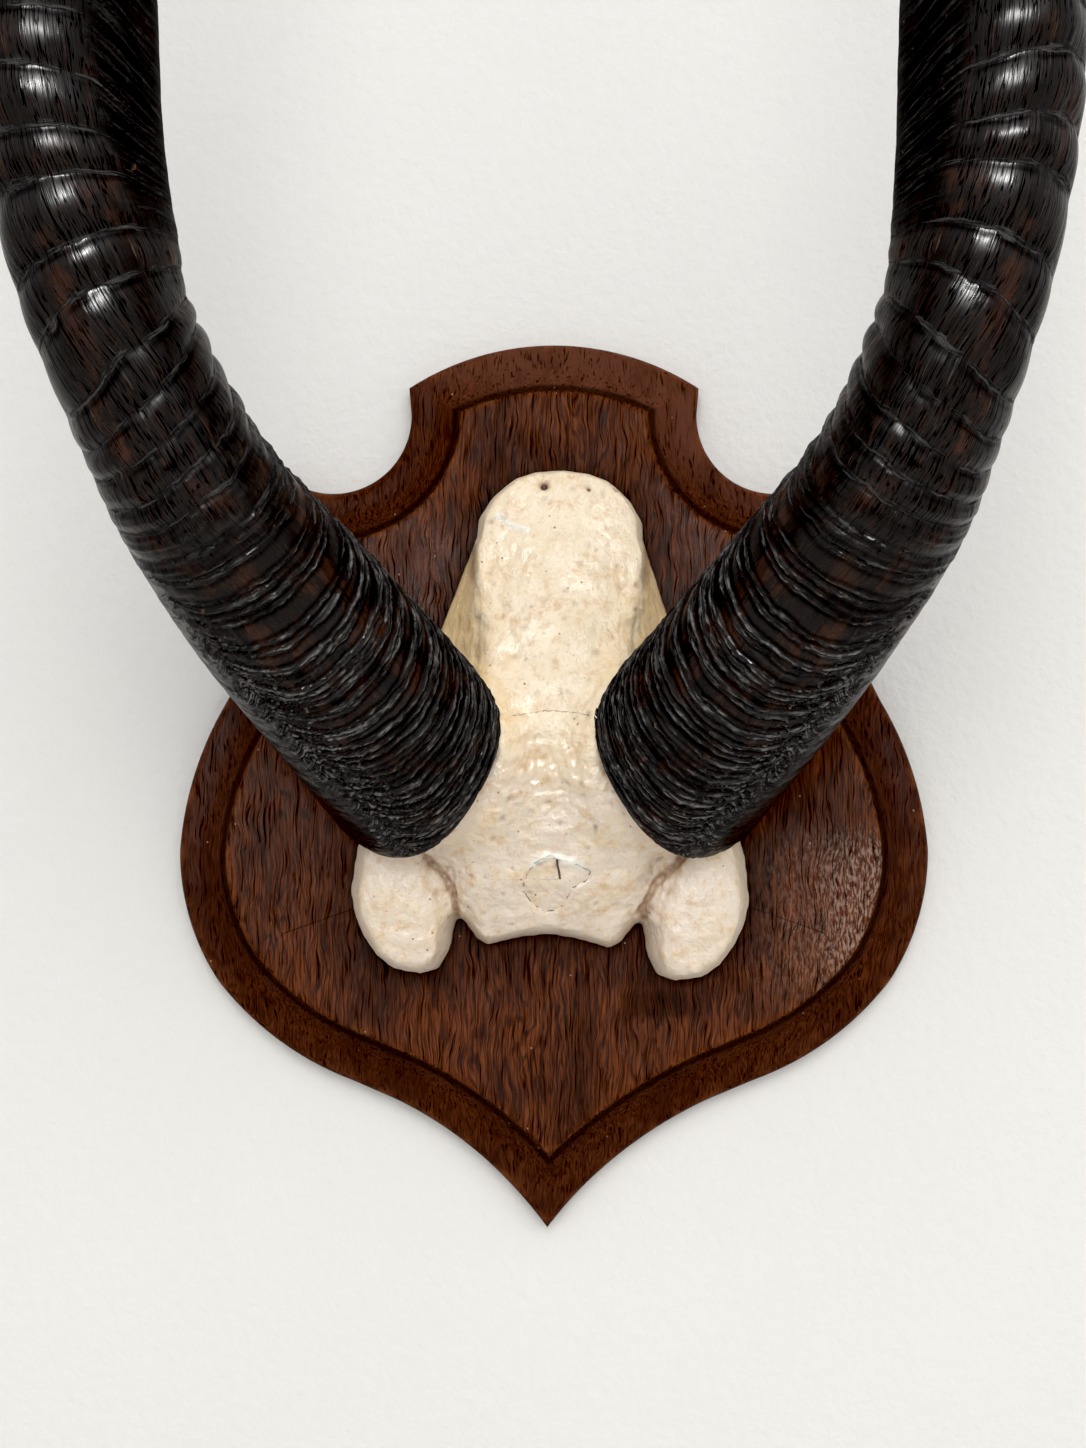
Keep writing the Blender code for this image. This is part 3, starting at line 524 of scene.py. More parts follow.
def half_sides():
    """The right half of the outline: three sides between its corners."""
    arch = [Vector((0.0, SHIELD_TOP))]
    arch += arc_points(arch[-1], ARCH_CORNER, -ARCH_ARC, 60)
    scoop = [arch[-1]]
    scoop += arc_points(scoop[-1], SCOOP_START, 0.0, 12)
    scoop += arc_points(scoop[-1], EAR, SCOOP_ARC, 80)
    flank = [scoop[-1]]
    flank += arc_points(flank[-1], WAIST, WAIST_ARC, 60)
    flank += arc_points(flank[-1], WIDEST, -LOBE_ARCS[0], 40)
    flank += arc_points(flank[-1], LOBE_TURN, -LOBE_ARCS[1], 40)
    flank += arc_points(flank[-1], LOBE_END, -LOBE_ARCS[2], 40)
    flank += arc_points(flank[-1], OGEE_START, 0.0, 12)
    flank += arc_points(flank[-1], (0.0, SHIELD_TIP), OGEE_ARC, 60)
    return arch, scoop, flank


def moved_inward(side, distance):
    """A side moved to its right by a distance."""
    points = np.array(side)
    along = np.gradient(points, axis=0)
    along /= np.linalg.norm(along, axis=1)[:, None]
    return points + np.stack([along[:, 1], -along[:, 0]], axis=1) * distance


def crossing(first, second):
    """Where two sides cross: the place along each, counted in points."""
    a, ab = first[:-1, None], (first[1:] - first[:-1])[:, None]
    c, cd = second[None, :-1], (second[1:] - second[:-1])[None]
    turn = ab[..., 0] * cd[..., 1] - ab[..., 1] * cd[..., 0]
    turn = np.where(np.abs(turn) < 1e-9, 1e-9, turn)
    gap = c - a
    s = (gap[..., 0] * cd[..., 1] - gap[..., 1] * cd[..., 0]) / turn
    t = (gap[..., 0] * ab[..., 1] - gap[..., 1] * ab[..., 0]) / turn
    hits = np.argwhere((s >= -1e-6) & (s <= 1.0 + 1e-6) & (t >= -1e-6) & (t <= 1.0 + 1e-6))
    i, j = hits[-1]
    return i + s[i, j], j + t[i, j]


def ring_outline(inset):
    """The whole outline moved in by `inset`, clockwise from the top, with its corners mitred."""
    arch, scoop, flank = [moved_inward(side, inset) for side in half_sides()]
    cuts = [0.0, len(arch) - 1, 0.0, len(scoop) - 1, 0.0, len(flank) - 1]
    if inset:
        axis = np.array([(0.0, SHIELD_TIP - 1.0), (0.0, SHIELD_TIP + 90.0)])
        cuts[1], cuts[2] = crossing(arch, scoop)
        cuts[3], cuts[4] = crossing(scoop, flank)
        cuts[5] = crossing(flank, axis)[0]
    right = []
    for side, start, end, count in zip((arch, scoop, flank), cuts[::2], cuts[1::2], SIDE_COUNTS):
        places = np.linspace(start, end, count + 1)[: count + (side is flank)]
        index = np.arange(len(side))
        right.append(np.stack([np.interp(places, index, side[:, axis]) for axis in (0, 1)], axis=1))
    right = np.concatenate(right)
    right[0, 0] = 0.0
    right[-1, 0] = 0.0
    left = right[-2:0:-1] * (-1.0, 1.0)
    loop = np.concatenate([right, left])
    loop[:, 0] += TIP_LEAN * smooth((LEAN_BELOW - loop[:, 1]) / (LEAN_BELOW - SHIELD_TIP))
    return loop


def shield_marks(points):
    """How strong the grime with painted shade, the rim's stain with painted shade, and the dust and worn
    varnish with a painted sheen are at each point of the board.
    """
    x, y, z = points.T
    near_field = y < -19.5
    on_field = y < -19.9
    distance = skull_distance(x, z)
    # Painted shade round the skull, darkening the wood nearest it, with grime there too.
    grime_and_shade = smooth((7.0 - distance) / 8.0)
    grime_and_shade = np.maximum(grime_and_shade, 0.55 * smooth((24.0 - distance) / 26.0)) * near_field
    # Painted shade, with some grime, in the cove's steep band next to the field.
    hollow = smooth((y + 20.0) / 1.2) * smooth((-14.2 - y) / 1.8)
    across, up, half_width, half_height = FLAT_TRACE
    trace = smooth((half_width - np.abs(x - across)) / 2.5) * smooth((half_height - np.abs(z - up)) / 2.5)
    across, up, radius = ROUND_TRACE
    trace = np.maximum(trace, smooth((radius - np.hypot(x - across, z - up)) / 6.0)) * on_field
    across, up, lean, width = RUN
    run = 0.5 * np.exp(-(((x - across - lean * (z - up)) / width) ** 2)) * on_field
    run = run * smooth((-66.0 - z) / 12.0)
    for more in (0.9 * hollow, 0.62 * trace, run):
        grime_and_shade = np.maximum(grime_and_shade, more)
    # Paler wood on the field's right: dust and worn varnish, with a painted sheen.
    right = smooth((x - 60.0) / 45.0) * smooth((-10.0 - z) / 20.0) * smooth((z + 95.0) / 30.0) * near_field
    pale_and_sheen = right * (0.35 + 0.65 * smooth((x - 96.0) / 20.0))
    # The rim mask darkens the moulding below the field: a stain, with painted shade.
    return {"grime_and_shade": np.clip(grime_and_shade, 0.0, 1.0), "rim": smooth((y + 19.6) / 3.0), "pale_and_sheen": pale_and_sheen}


def build_shield(material):
    """The oak board with its cove moulding and mitred corners."""
    first = ring_outline(BACK_INSET)
    sides = len(first)
    loops = [np.stack([first[:, 0], np.zeros(sides), first[:, 1]], axis=1)]
    wear = [np.zeros(sides)]
    for inset, height, rubbed in MOULDING:
        loop = ring_outline(inset)
        dents = layered_noise(loop[:, 0] / 9.0, loop[:, 1] / 9.0, inset / 9.0) * (0.0 < inset < DENTED_WITHIN)
        depth = np.minimum(0.0, DENT_HEIGHT * dents - height)
        loops.append(np.stack([loop[:, 0], depth, loop[:, 1]], axis=1))
        patch = 0.75 + 0.5 * layered_noise(loop[:, 0] / 30.0, loop[:, 1] / 30.0, 3.0)
        wear.append(rubbed * np.clip(patch, 0.0, 1.0))
    rim = loops[-1]
    centre = np.array([0.0, -BOARD_THICKNESS, FIELD_CENTRE_Z])
    for share in np.linspace(1.0, 0.0, FIELD_RINGS + 2)[1:-1]:
        loops.append(centre + (rim - centre) * share)
        wear.append(np.zeros(sides))
    points = np.concatenate([*loops, [centre]])
    last = (len(loops) - 1) * sides
    faces = tube_faces(len(loops), sides)
    faces += [(last + side, last + (side + 1) % sides, len(points) - 1) for side in range(sides)]
    faces.append(tuple(range(sides))[::-1])
    made = mesh_object("shield_board", points, faces, SHARP_ANGLE)
    add_values(made, wear=np.concatenate([*wear, [0.0]]), **shield_marks(points))
    cut_back(made)
    place_piece(made, "shield", material)


def cut_back(board):
    """Cuts the hanger's recess and the screws' holes into the back of the board."""
    width, height, depth = HANGER_RECESS
    recess = bmesh.new()
    size = Matrix.Diagonal((width * MM, 2.0 * depth * MM, height * MM, 1.0))
    bmesh.ops.create_cube(recess, size=1.0, matrix=Matrix.Translation((0.0, 0.0, HANGER_Z * MM)) @ size)
    shapes = [recess]
    for x in (-HANGER_SCREW_X, HANGER_SCREW_X):
        shapes.append(rod((x, HANGER_Z), *PILOT))
    for z in SKULL_SCREW_Z:
        shapes.append(rod((0.0, z), SKULL_SCREW_HOLE, BOARD_THICKNESS + 1.0))
        shapes.append(rod((0.0, z), *COUNTERBORE))
    cutters = []
    for shape in shapes:
        mesh = bpy.data.meshes.new("cutter")
        shape.to_mesh(mesh)
        shape.free()
        cutters.append(bpy.data.objects.new("cutter", mesh))
        bpy.context.scene.collection.objects.link(cutters[-1])
        board.modifiers.new("cut", "BOOLEAN").object = cutters[-1]
    board.data = finished_mesh(board)
    board.modifiers.clear()
    for cutter in cutters:
        bpy.data.objects.remove(cutter)
    board.data.set_sharp_from_angle(angle=math.radians(SHARP_ANGLE))


def rod(place, radius, depth):
    """A round rod into the back of the board, to cut with."""
    bm = bmesh.new()
    length = (depth + 1.0) * MM
    centre = Vector((place[0] * MM, MM - length / 2.0, place[1] * MM))
    upright = Matrix.Translation(centre) @ Matrix.Rotation(math.radians(90.0), 4, "X")
    bmesh.ops.create_cone(
        bm, cap_ends=True, segments=40, radius1=radius * MM, radius2=radius * MM, depth=length, matrix=upright
    )
    return bm


# Skull cap

SKULL_X = -0.4
SKULL_TURN = 1.6
FIELD_GAP = 0.3
SKULL_OUTLINE = (
    (0.0, 121.5), (10.0, 120.6), (18.0, 117.8), (26.3, 110.5), (31.0, 102.5), (31.8, 95.0), (34.6, 87.0),
    (43.5, 62.0), (51.0, 40.0), (60.0, 14.0), (69.0, -8.0), (74.5, -26.0), (76.4, -42.0), (74.8, -51.0),
    (71.2, -59.0), (66.0, -66.4), (59.0, -71.5), (49.0, -73.0), (42.5, -71.0), (38.3, -63.5), (36.8, -54.0),
    (35.6, -50.6), (33.0, -51.5), (27.5, -58.7), (23.5, -61.2), (14.0, -58.6), (7.0, -57.2), (0.0, -56.6),
)  # fmt: skip
CROWN = (
    (-62.0, 17.0), (-50.0, 26.0), (-35.0, 36.0), (-15.0, 44.5), (5.0, 50.0), (22.0, 52.0), (45.0, 48.5),
    (70.0, 41.5), (95.0, 34.5), (112.0, 29.5), (125.0, 24.0),
)  # fmt: skip
CROWN_BOW = 0.0042
WALL_FOOT = 5.0
WALL_SLOPE = (
    (-75.0, 5.0), (-20.0, 5.0), (5.0, 3.0), (30.0, 2.2), (50.0, 2.1), (60.0, 2.4), (70.0, 3.2), (80.0, 5.0),
    (90.0, 9.0), (125.0, 9.0),
)  # fmt: skip
EDGE_ROUND = ((-75.0, 7.0), (15.0, 7.0), (35.0, 12.0), (80.0, 12.0), (95.0, 7.0), (125.0, 7.0))
LOBE_CENTRE = (56.5, -36.0)
LOBE_HEIGHT = 31.0
LOBE_BOW = (0.012, 0.0065)
BROW_GROOVE = ((49.0, -18.0), (40.0, -33.0), (35.8, -48.0))
BROW_CREASE = ((55.0, -20.5), (51.5, -22.0), (44.5, -29.0), (39.5, -34.5), (36.3, -41.5), (35.2, -49.0))
BROW_GROOVE_DEPTH = 3.0
BROW_GROOVE_WIDTH = 5.5
COLLAR_HEIGHT = 6.0
COLLAR_WIDTH = 9.0
PEDICLE_RADIUS = 34.5
PEDICLE_ROOT_RADIUS = 31.0
PEDICLE_LENGTH = 34.0
# Details in the skull's own frame: the temporal ridge (v, u), a raised scar, a healed plug, two fine lines.
RIDGE = ((30.0, 19.0), (36.0, 20.5), (50.0, 24.8), (60.0, 27.2), (70.0, 29.2), (80.0, 30.4), (120.0, 30.4))
SCAR = ((-24.0, 101.6), (-21.5, 99.5), (-18.2, 98.0), (-15.0, 96.6), (-12.2, 95.9))
PLUG = (
    (-10.6, -37.5), (-9.3, -32.7), (-5.8, -26.7), (-1.0, -24.0), (2.0, -25.4), (9.1, -26.7), (14.7, -30.2),
    (13.7, -33.6), (7.8, -36.3), (6.1, -40.8), (3.7, -44.9), (-1.9, -46.2), (-6.4, -43.3), (-9.8, -39.4),
    (-10.6, -37.5),
)  # fmt: skip
PLUG_SPLIT = ((2.0, -25.4), (2.2, -28.0), (2.9, -30.5), (3.4, -33.7))
SUTURE = ((-16.4, 26.6), (-9.0, 28.0), (-2.0, 29.0), (4.0, 28.9), (9.0, 28.2), (12.5, 27.6))
PIT_COUNT = 95
# Single marks: place (u, v) and radius of the holes and the chip, and how far each mark rises or sinks.
FORAMEN = ((-6.7, 113.4), 1.7)
SMALL_PIT = ((10.2, 112.4), 1.2)
CHIP = ((-27.6, -20.5), 1.4)
MARK_HEIGHTS = {
    "foramen": -3.4, "small_pit": -1.3, "slit": -1.0, "chip": -0.9, "pits": -0.9, "scar": 1.15,
    "plug_rim": 1.3, "plug_line": -0.45, "in_plug": -0.3, "ridge": 0.3, "notch": -2.2, "crease": -2.4,
}  # fmt: skip
# A distance from a fine line that is too far for it to show, and how far the bone stays under a horn's base.
FAR = 3.0
HORN_GAP = 0.4
# How much each mark darkens the bone: dirt in the pits and chip, and painted shade in the holes, the slit,
# the notch and the crease.
MARK_DIRT_AND_SHADE = {
    "foramen": 0.9, "notch": 0.8, "pits": 0.7, "chip": 0.4, "slit": 0.9, "small_pit": 0.3, "crease": 1.1,
}  # fmt: skip
RELIEF_SIZE = (172.0, 208.0)
RELIEF_MIDDLE = 24.0
RELIEF_STEP = 1.0
RELIEF_FLOOR = -6.0
RELIEF_BACK = -9.0
OUTSIDE_SLOPE = 4.0
LOWEST_TOP = 4.0
PEDICLE_OVERLAP = 4.0
PEDICLE_SIDES = 64
SKULL_VOXEL = 0.85
SKULL_SMOOTHING = 8


def chain_distance(x, y, chain):
    """The distance from each point to a chain of points."""
    nearest = np.full(np.shape(x), 1e9)
    for (ax, ay), (bx, by) in zip(chain, chain[1:]):
        dx, dy = bx - ax, by - ay
        share = np.clip(((x - ax) * dx + (y - ay) * dy) / (dx * dx + dy * dy), 0.0, 1.0)
        nearest = np.minimum(nearest, np.hypot(x - ax - share * dx, y - ay - share * dy))
    return nearest


def is_inside(x, y, chain):
    """Whether each point is inside a closed chain."""
    within = np.zeros(np.shape(x), bool)
    for (ax, ay), (bx, by) in zip(chain, chain[1:]):
        if ay == by:
            continue
        spans = (ay > y) != (by > y)
        within ^= spans & (x < ax + (bx - ax) * (y - ay) / (by - ay))
    return within


def skull_chain():
    """The skull's closed outline in its own frame."""
    right = list(SKULL_OUTLINE)
    return right + [(-u, v) for u, v in reversed(right[:-1])]


def edge_distance(u, v):
    """The distance inside the skull's outline, negative outside."""
    chain = skull_chain()
    distance = chain_distance(u, v, chain)
    return np.where(is_inside(u, v, chain), distance, -distance)


def skull_matrix():
    """The matrix from the skull's own frame (u, height, v) to the part's, in millimetres."""
    turn = Matrix.Rotation(math.radians(SKULL_TURN), 4, "Y")
    move = Matrix.Translation((SKULL_X, -BOARD_THICKNESS - FIELD_GAP, 0.0))
    return move @ turn @ Matrix.Diagonal((1.0, -1.0, 1.0, 1.0))


def to_skull(x, z):
    """The skull's own (u, v) of places on the board."""
    turn = math.radians(SKULL_TURN)
    x = x - SKULL_X
    return x * math.cos(turn) - z * math.sin(turn), x * math.sin(turn) + z * math.cos(turn)


def skull_distance(x, z):
    """The distance of each place on the board outside the skull's outline."""
    u, v = to_skull(x, z)
    return -edge_distance(u, v)


def smooth_min(first, second, reach):
    """The lower of two heights, with a rounding where they meet."""
    share = np.clip(0.5 + 0.5 * (second - first) / reach, 0.0, 1.0)
    return second + (first - second) * share - reach * share * (1.0 - share)


def brow_groove(u, v):
    """How deep in the groove between the forehead and each brow ridge, from 0 to 1."""
    return np.exp(-((chain_distance(np.abs(u), v, BROW_GROOVE) / BROW_GROOVE_WIDTH) ** 2))


def skull_height(u, v):
    """The height of the skull's surface above the shield's field."""
    edge = edge_distance(u, v)
    side = np.abs(u)
    crown = table(CROWN, v) - CROWN_BOW * u * u
    lobe = LOBE_HEIGHT - LOBE_BOW[0] * (side - LOBE_CENTRE[0]) ** 2 - LOBE_BOW[1] * (v - LOBE_CENTRE[1]) ** 2
    fall = smooth((side - 30.0) / 14.0) * smooth((12.0 - v) / 20.0)
    top = np.maximum(crown + (lobe - crown) * fall, LOWEST_TOP)
    top = top - BROW_GROOVE_DEPTH * brow_groove(u, v)
    inverse = skull_matrix().inverted()
    for name in HORNS:
        centre = inverse @ Vector(HORN_STATIONS[name][0][:3])
        collar = np.abs(np.hypot(u - centre.x, v - centre.z) - PEDICLE_RADIUS) / COLLAR_WIDTH
        top = top + COLLAR_HEIGHT * np.exp(-collar * collar) * smooth((v + 45.0) / 40.0)
    wall = WALL_FOOT + table(WALL_SLOPE, v) * edge
    return np.where(edge < 0.0, OUTSIDE_SLOPE * edge, smooth_min(top, wall, table(EDGE_ROUND, v)))


def skull_solid():
    """The skull's main forms as one even mesh in the part's frame, in metres."""
    width, height = RELIEF_SIZE
    columns, rows = round(width / RELIEF_STEP), round(height / RELIEF_STEP)
    bm = bmesh.new()
    bmesh.ops.create_grid(bm, x_segments=columns, y_segments=rows, size=0.5)
    flat = np.array([vert.co[:2] for vert in bm.verts])
    u, v = flat[:, 0] * width, flat[:, 1] * height + RELIEF_MIDDLE
    raised = np.maximum(RELIEF_FLOOR, skull_height(u, v))
    for vert, *place in zip(bm.verts, u, raised, v):
        vert.co = Vector(place) * MM
    rim = [edge for edge in bm.edges if edge.is_boundary]
    pushed = bmesh.ops.extrude_edge_only(bm, edges=rim)
    for item in pushed["geom"]:
        if isinstance(item, bmesh.types.BMVert):
            item.co.y = RELIEF_BACK * MM
    bmesh.ops.contextual_create(bm, geom=[edge for edge in bm.edges if edge.is_boundary])
    place = skull_matrix()
    place.translation *= MM
    bmesh.ops.transform(bm, matrix=place, verts=bm.verts)
    bmesh.ops.recalc_face_normals(bm, faces=bm.faces)
    for name in HORNS:
        centre, normal = horn_base(name)
        root = (centre - normal * PEDICLE_LENGTH) * MM
        top = (centre + normal * PEDICLE_OVERLAP) * MM
        along = top - root
        turn = along.to_track_quat("Z", "Y").to_matrix().to_4x4()
        bmesh.ops.create_cone(
            bm, cap_ends=True, segments=PEDICLE_SIDES, radius1=PEDICLE_ROOT_RADIUS * MM,
            radius2=PEDICLE_RADIUS * MM, depth=along.length,
            matrix=Matrix.Translation((root + top) / 2.0) @ turn,
        )  # fmt: skip
    mesh = bpy.data.meshes.new("skull_solid")
    bm.to_mesh(mesh)
    bm.free()
    rough = bpy.data.objects.new("skull_solid", mesh)
    bpy.context.scene.collection.objects.link(rough)
    remesh = rough.modifiers.new("blend", "REMESH")
    remesh.mode = "VOXEL"
    remesh.voxel_size = SKULL_VOXEL * MM
    soften = rough.modifiers.new("soften", "SMOOTH")
    soften.factor = 0.5
    soften.iterations = SKULL_SMOOTHING
    finished = finished_mesh(rough)
    bpy.data.objects.remove(rough)
    cut_off(finished, (0.0, -(BOARD_THICKNESS + FIELD_GAP) * MM, 0.0), (0.0, 1.0, 0.0))
    return finished


def cut_off(mesh, place, normal):
    """Cuts away what is beyond a plane and closes the mesh there."""
    bm = bmesh.new()
    bm.from_mesh(mesh)
    everything = [*bm.verts, *bm.edges, *bm.faces]
    bmesh.ops.bisect_plane(bm, geom=everything, dist=1e-7, plane_co=place, plane_no=normal, clear_outer=True)
    rim = [edge for edge in bm.edges if edge.is_boundary]
    bmesh.ops.holes_fill(bm, edges=rim, sides=0)
    bm.to_mesh(mesh)
    bm.free()


def dimple(u, v, centre, radius):
    """1 in the middle of a round pit, falling to 0 round it."""
    return np.exp(-(((u - centre[0]) ** 2 + (v - centre[1]) ** 2) / (radius * radius)))


def skull_marks(u, v):
    """Each single mark on the skull, from 0 where it isn't to 1 in its middle."""
    side = np.abs(u)
    marks = {
        "foramen": dimple(u, v, *FORAMEN),
        "small_pit": dimple(u, v, *SMALL_PIT),
        "chip": dimple(u, v, *CHIP),
        "slit": np.exp(-(((u - 15.8) / 0.8) ** 2 + ((v + 13.8) / 1.8) ** 2)),
        "scar": np.exp(-((chain_distance(u, v, SCAR) / 0.95) ** 2)),
        "groove": brow_groove(u, v),
        "in_plug": is_inside(u, v, PLUG),
    }
    chance = np.random.RandomState(21)
    marks["pits"] = np.zeros(len(u))
    for _ in range(PIT_COUNT):
        spot = (chance.uniform(-30.0, 30.0), chance.uniform(-48.0, 116.0))
        pit = dimple(u, v, spot, chance.uniform(0.6, 1.2)) * chance.uniform(0.4, 1.0)
        marks["pits"] = np.maximum(marks["pits"], pit)

    to_plug = chain_distance(u, v, PLUG)
    upper = smooth((v + 31.5) / 4.0)
    marks["plug_top"] = upper
    marks["plug_rim"] = np.exp(-((to_plug - 0.5) ** 2)) * upper
    marks["plug_line"] = np.exp(-((to_plug / 0.7) ** 2)) * (1.0 - upper)
    marks["plug_gap"] = np.where(marks["in_plug"], -to_plug, to_plug)

    past_ridge = side - table(RIDGE, v)
    along_ridge = smooth((v - 38.0) / 16.0) * smooth((96.0 - v) / 8.0)
    marks["past_ridge"] = past_ridge
    marks["ridge"] = np.exp(-((past_ridge / 2.4) ** 2)) * along_ridge
    by_notch = smooth((v - 72.0) / 8.0) * smooth((93.0 - v) / 3.0)
    marks["notch"] = np.exp(-(((past_ridge - 2.6) / 1.7) ** 2)) * by_notch

    shift = 1.3 * layered_noise(u / 6.0, v / 6.0, 0.0, 2, 33)
    marks["crease"] = np.exp(-((chain_distance(side + shift, v + shift, BROW_CREASE) / 1.15) ** 2))
    marks["wrinkles"] = np.abs(layered_noise(u / 5.0, v / 7.0, 0.0, 3, 12))
    return marks


def skull_relief(points, u, v, marks):
    """How far the skull's surface is raised at each point, and where its uneven growth leaves creases."""
    x, y, z = points.T
    side = np.abs(u)
    creases = np.abs(layered_noise(x / 10.0, y / 10.0, z / 15.0, 3, 15))
    raised = 1.3 * layered_noise(x / 14.0, y / 14.0, z / 14.0, 3, 3) + 1.3 * np.minimum(creases, 0.3)
    rough = np.exp(-(((u + 2.0) / 16.0) ** 4 + ((v - 4.0) / 15.0) ** 4))
    raised += 0.42 * layered_noise(x / 3.6, y / 3.6, z / 3.6, 3, 5) * (1.0 + 1.2 * rough)
    raised -= 0.5 * rough * smooth((layered_noise(x / 2.6, y / 2.6, z / 2.6, 2, 8) - 0.05) / 0.4)
    raised += 0.16 * rough * layered_noise(x / 1.7, y / 1.7, z / 1.7, 2, 52)
    for name, height in MARK_HEIGHTS.items():
        raised += height * marks[name]

    upright = smooth((side - 17.0) / 6.0) * smooth((v - 36.0) / 10.0) * smooth((94.0 - v) / 6.0)
    raised += 0.55 * upright * layered_noise(u / 3.4, v / 19.0, 0.0, 3, 19)
    lobe = smooth((side - 36.0) / 8.0) * smooth((-12.0 - v) / 14.0)
    fan = np.arctan2(v - 6.0, side - 44.0) * 24.0
    raised += 0.65 * lobe * layered_noise(fan / 1.4, np.hypot(side - 44.0, v) / 22.0, 0.0, 2, 9)
    raised += marks["groove"] * (0.4 - 3.2 * marks["wrinkles"])
    return raised, creases


def skull_values(points, u, v, marks):
    """What the bone's material reads at each point."""
    x, y, z = points.T
    side = np.abs(u)
    warm = smooth((v - 2.0 + 5.0 * wave_noise(u / 15.0, v / 15.0)) / 14.0)

    tan = smooth((marks["past_ridge"] - 0.5) / 4.0) * smooth((v - 24.0) / 12.0) * smooth((96.0 - v) / 8.0)
    patches = 0.5 + layered_noise(x / 9.0, y / 9.0, z / 12.0, 3, 27)
    beside = smooth((marks["past_ridge"] + 15.0) / 15.0)
    beside = beside * smooth((v - 10.0) / 12.0) * smooth((100.0 - v) / 30.0)
    tan = np.maximum(tan, 0.85 * beside * patches)

    dirt_and_shade = sum(share * marks[name] for name, share in MARK_DIRT_AND_SHADE.items())
    wrinkled = 0.12 + 0.75 * smooth((marks["wrinkles"] - 0.1) / 0.26)
    dirt_and_shade = dirt_and_shade + marks["groove"] * wrinkled * smooth((-16.0 - v) / 10.0)
    # Painted shade where the bone comes down to the board, and darker along the lower middle edge.
    dirt_and_shade = dirt_and_shade + 0.6 * smooth((4.0 - marks["height"]) / 4.0)
    lower_edge = smooth((3.5 - edge_distance(u, v)) / 4.0) * smooth((-v - 44.0) / 5.0)
    dirt_and_shade = dirt_and_shade + 0.45 * lower_edge * smooth((34.0 - side) / 4.0)

    # Sunken places and creases, for a tan tint: stain, with painted shade.
    hollow = smooth((0.13 - marks["creases"]) / 0.16)
    hollow = hollow * smooth(0.5 + layered_noise(x / 24.0, y / 24.0, z / 24.0, 2, 40))
    hollow = np.maximum(hollow, smooth((-0.06 - marks["raised"]) / 1.1))
    gloss = np.exp(-(((v - 8.0) / 10.0) ** 4 + ((u + 3.0) / 17.0) ** 4))
    polished = 0.45 * smooth((layered_noise(x / 16.0, y / 16.0, z / 16.0, 2, 44) - 0.02) / 0.3)
    gloss = np.maximum(gloss, polished * smooth((v + 40.0) / 30.0)) + marks["scar"] + marks["plug_rim"]

    split_gap = u - table([(b, a) for a, b in reversed(PLUG_SPLIT)], v)
    in_split = (v < PLUG_SPLIT[0][1]) & (v > PLUG_SPLIT[-1][1])
    in_suture = (u > SUTURE[0][0]) & (u < SUTURE[-1][0])
    return {
        "warm": warm,
        "tan": np.clip(tan, 0.0, 1.0),
        "dirt_and_shade": np.clip(dirt_and_shade, 0.0, 1.0),
        "gloss": np.clip(gloss, 0.0, 1.0),
        # Painted highlight on the raised scar and the plug's rim.
        "pale_and_sheen": np.clip(marks["scar"] + 0.8 * marks["plug_rim"], 0.0, 1.0),
        "hollow": hollow,
        "hole": np.maximum(marks["foramen"], 0.8 * marks["small_pit"]),
        "plug_gap": marks["plug_gap"],
        "plug_top": marks["plug_top"],
        "split_gap": np.where(in_split, split_gap, FAR),
        "suture_gap": np.where(in_suture, v - table(SUTURE, u), FAR),
    }


def clear_of_horns(points):
    """The points, with those that rise into a horn's base moved down to just under it."""
    for name in HORNS:
        centre, normal = (np.array(item) for item in horn_base(name))
        above = (points - centre) @ normal
        across = np.linalg.norm(points - centre - above[:, None] * normal, axis=1)
        under = (above > -HORN_GAP) & (above < 20.0) & (across < PEDICLE_RADIUS + 3.0)
        points = points - np.where(under, above + HORN_GAP, 0.0)[:, None] * normal
    return points


def build_skull(material):
    """The skull cap with its pits, scars, grooves and hairlines."""
    mesh = skull_solid()
    points = np.zeros(len(mesh.vertices) * 3)
    normals = np.zeros(len(mesh.vertices) * 3)
    mesh.vertices.foreach_get("co", points)
    mesh.vertex_normals.foreach_get("vector", normals)
    points = points.reshape(-1, 3) / MM
    normals = normals.reshape(-1, 3)
    u, v = to_skull(points[:, 0], points[:, 2])
    marks = skull_marks(u, v)
    marks["raised"], marks["creases"] = skull_relief(points, u, v, marks)
    moved = points + normals * (marks["raised"] * smooth(-normals[:, 1] * 1.6))[:, None]
    moved[:, 1] = np.minimum(moved[:, 1], -BOARD_THICKNESS - FIELD_GAP)
    moved = clear_of_horns(moved)
    marks["height"] = -moved[:, 1] - BOARD_THICKNESS
    mesh.vertices.foreach_set("co", (moved * MM).ravel())
    mesh.update()
    mesh.shade_smooth()
    made = bpy.data.objects.new("skull", mesh)
    bpy.context.scene.collection.objects.link(made)
    add_values(made, **skull_values(points, u, v, marks))
    place_piece(made, "skull_cap", material)


# Horns

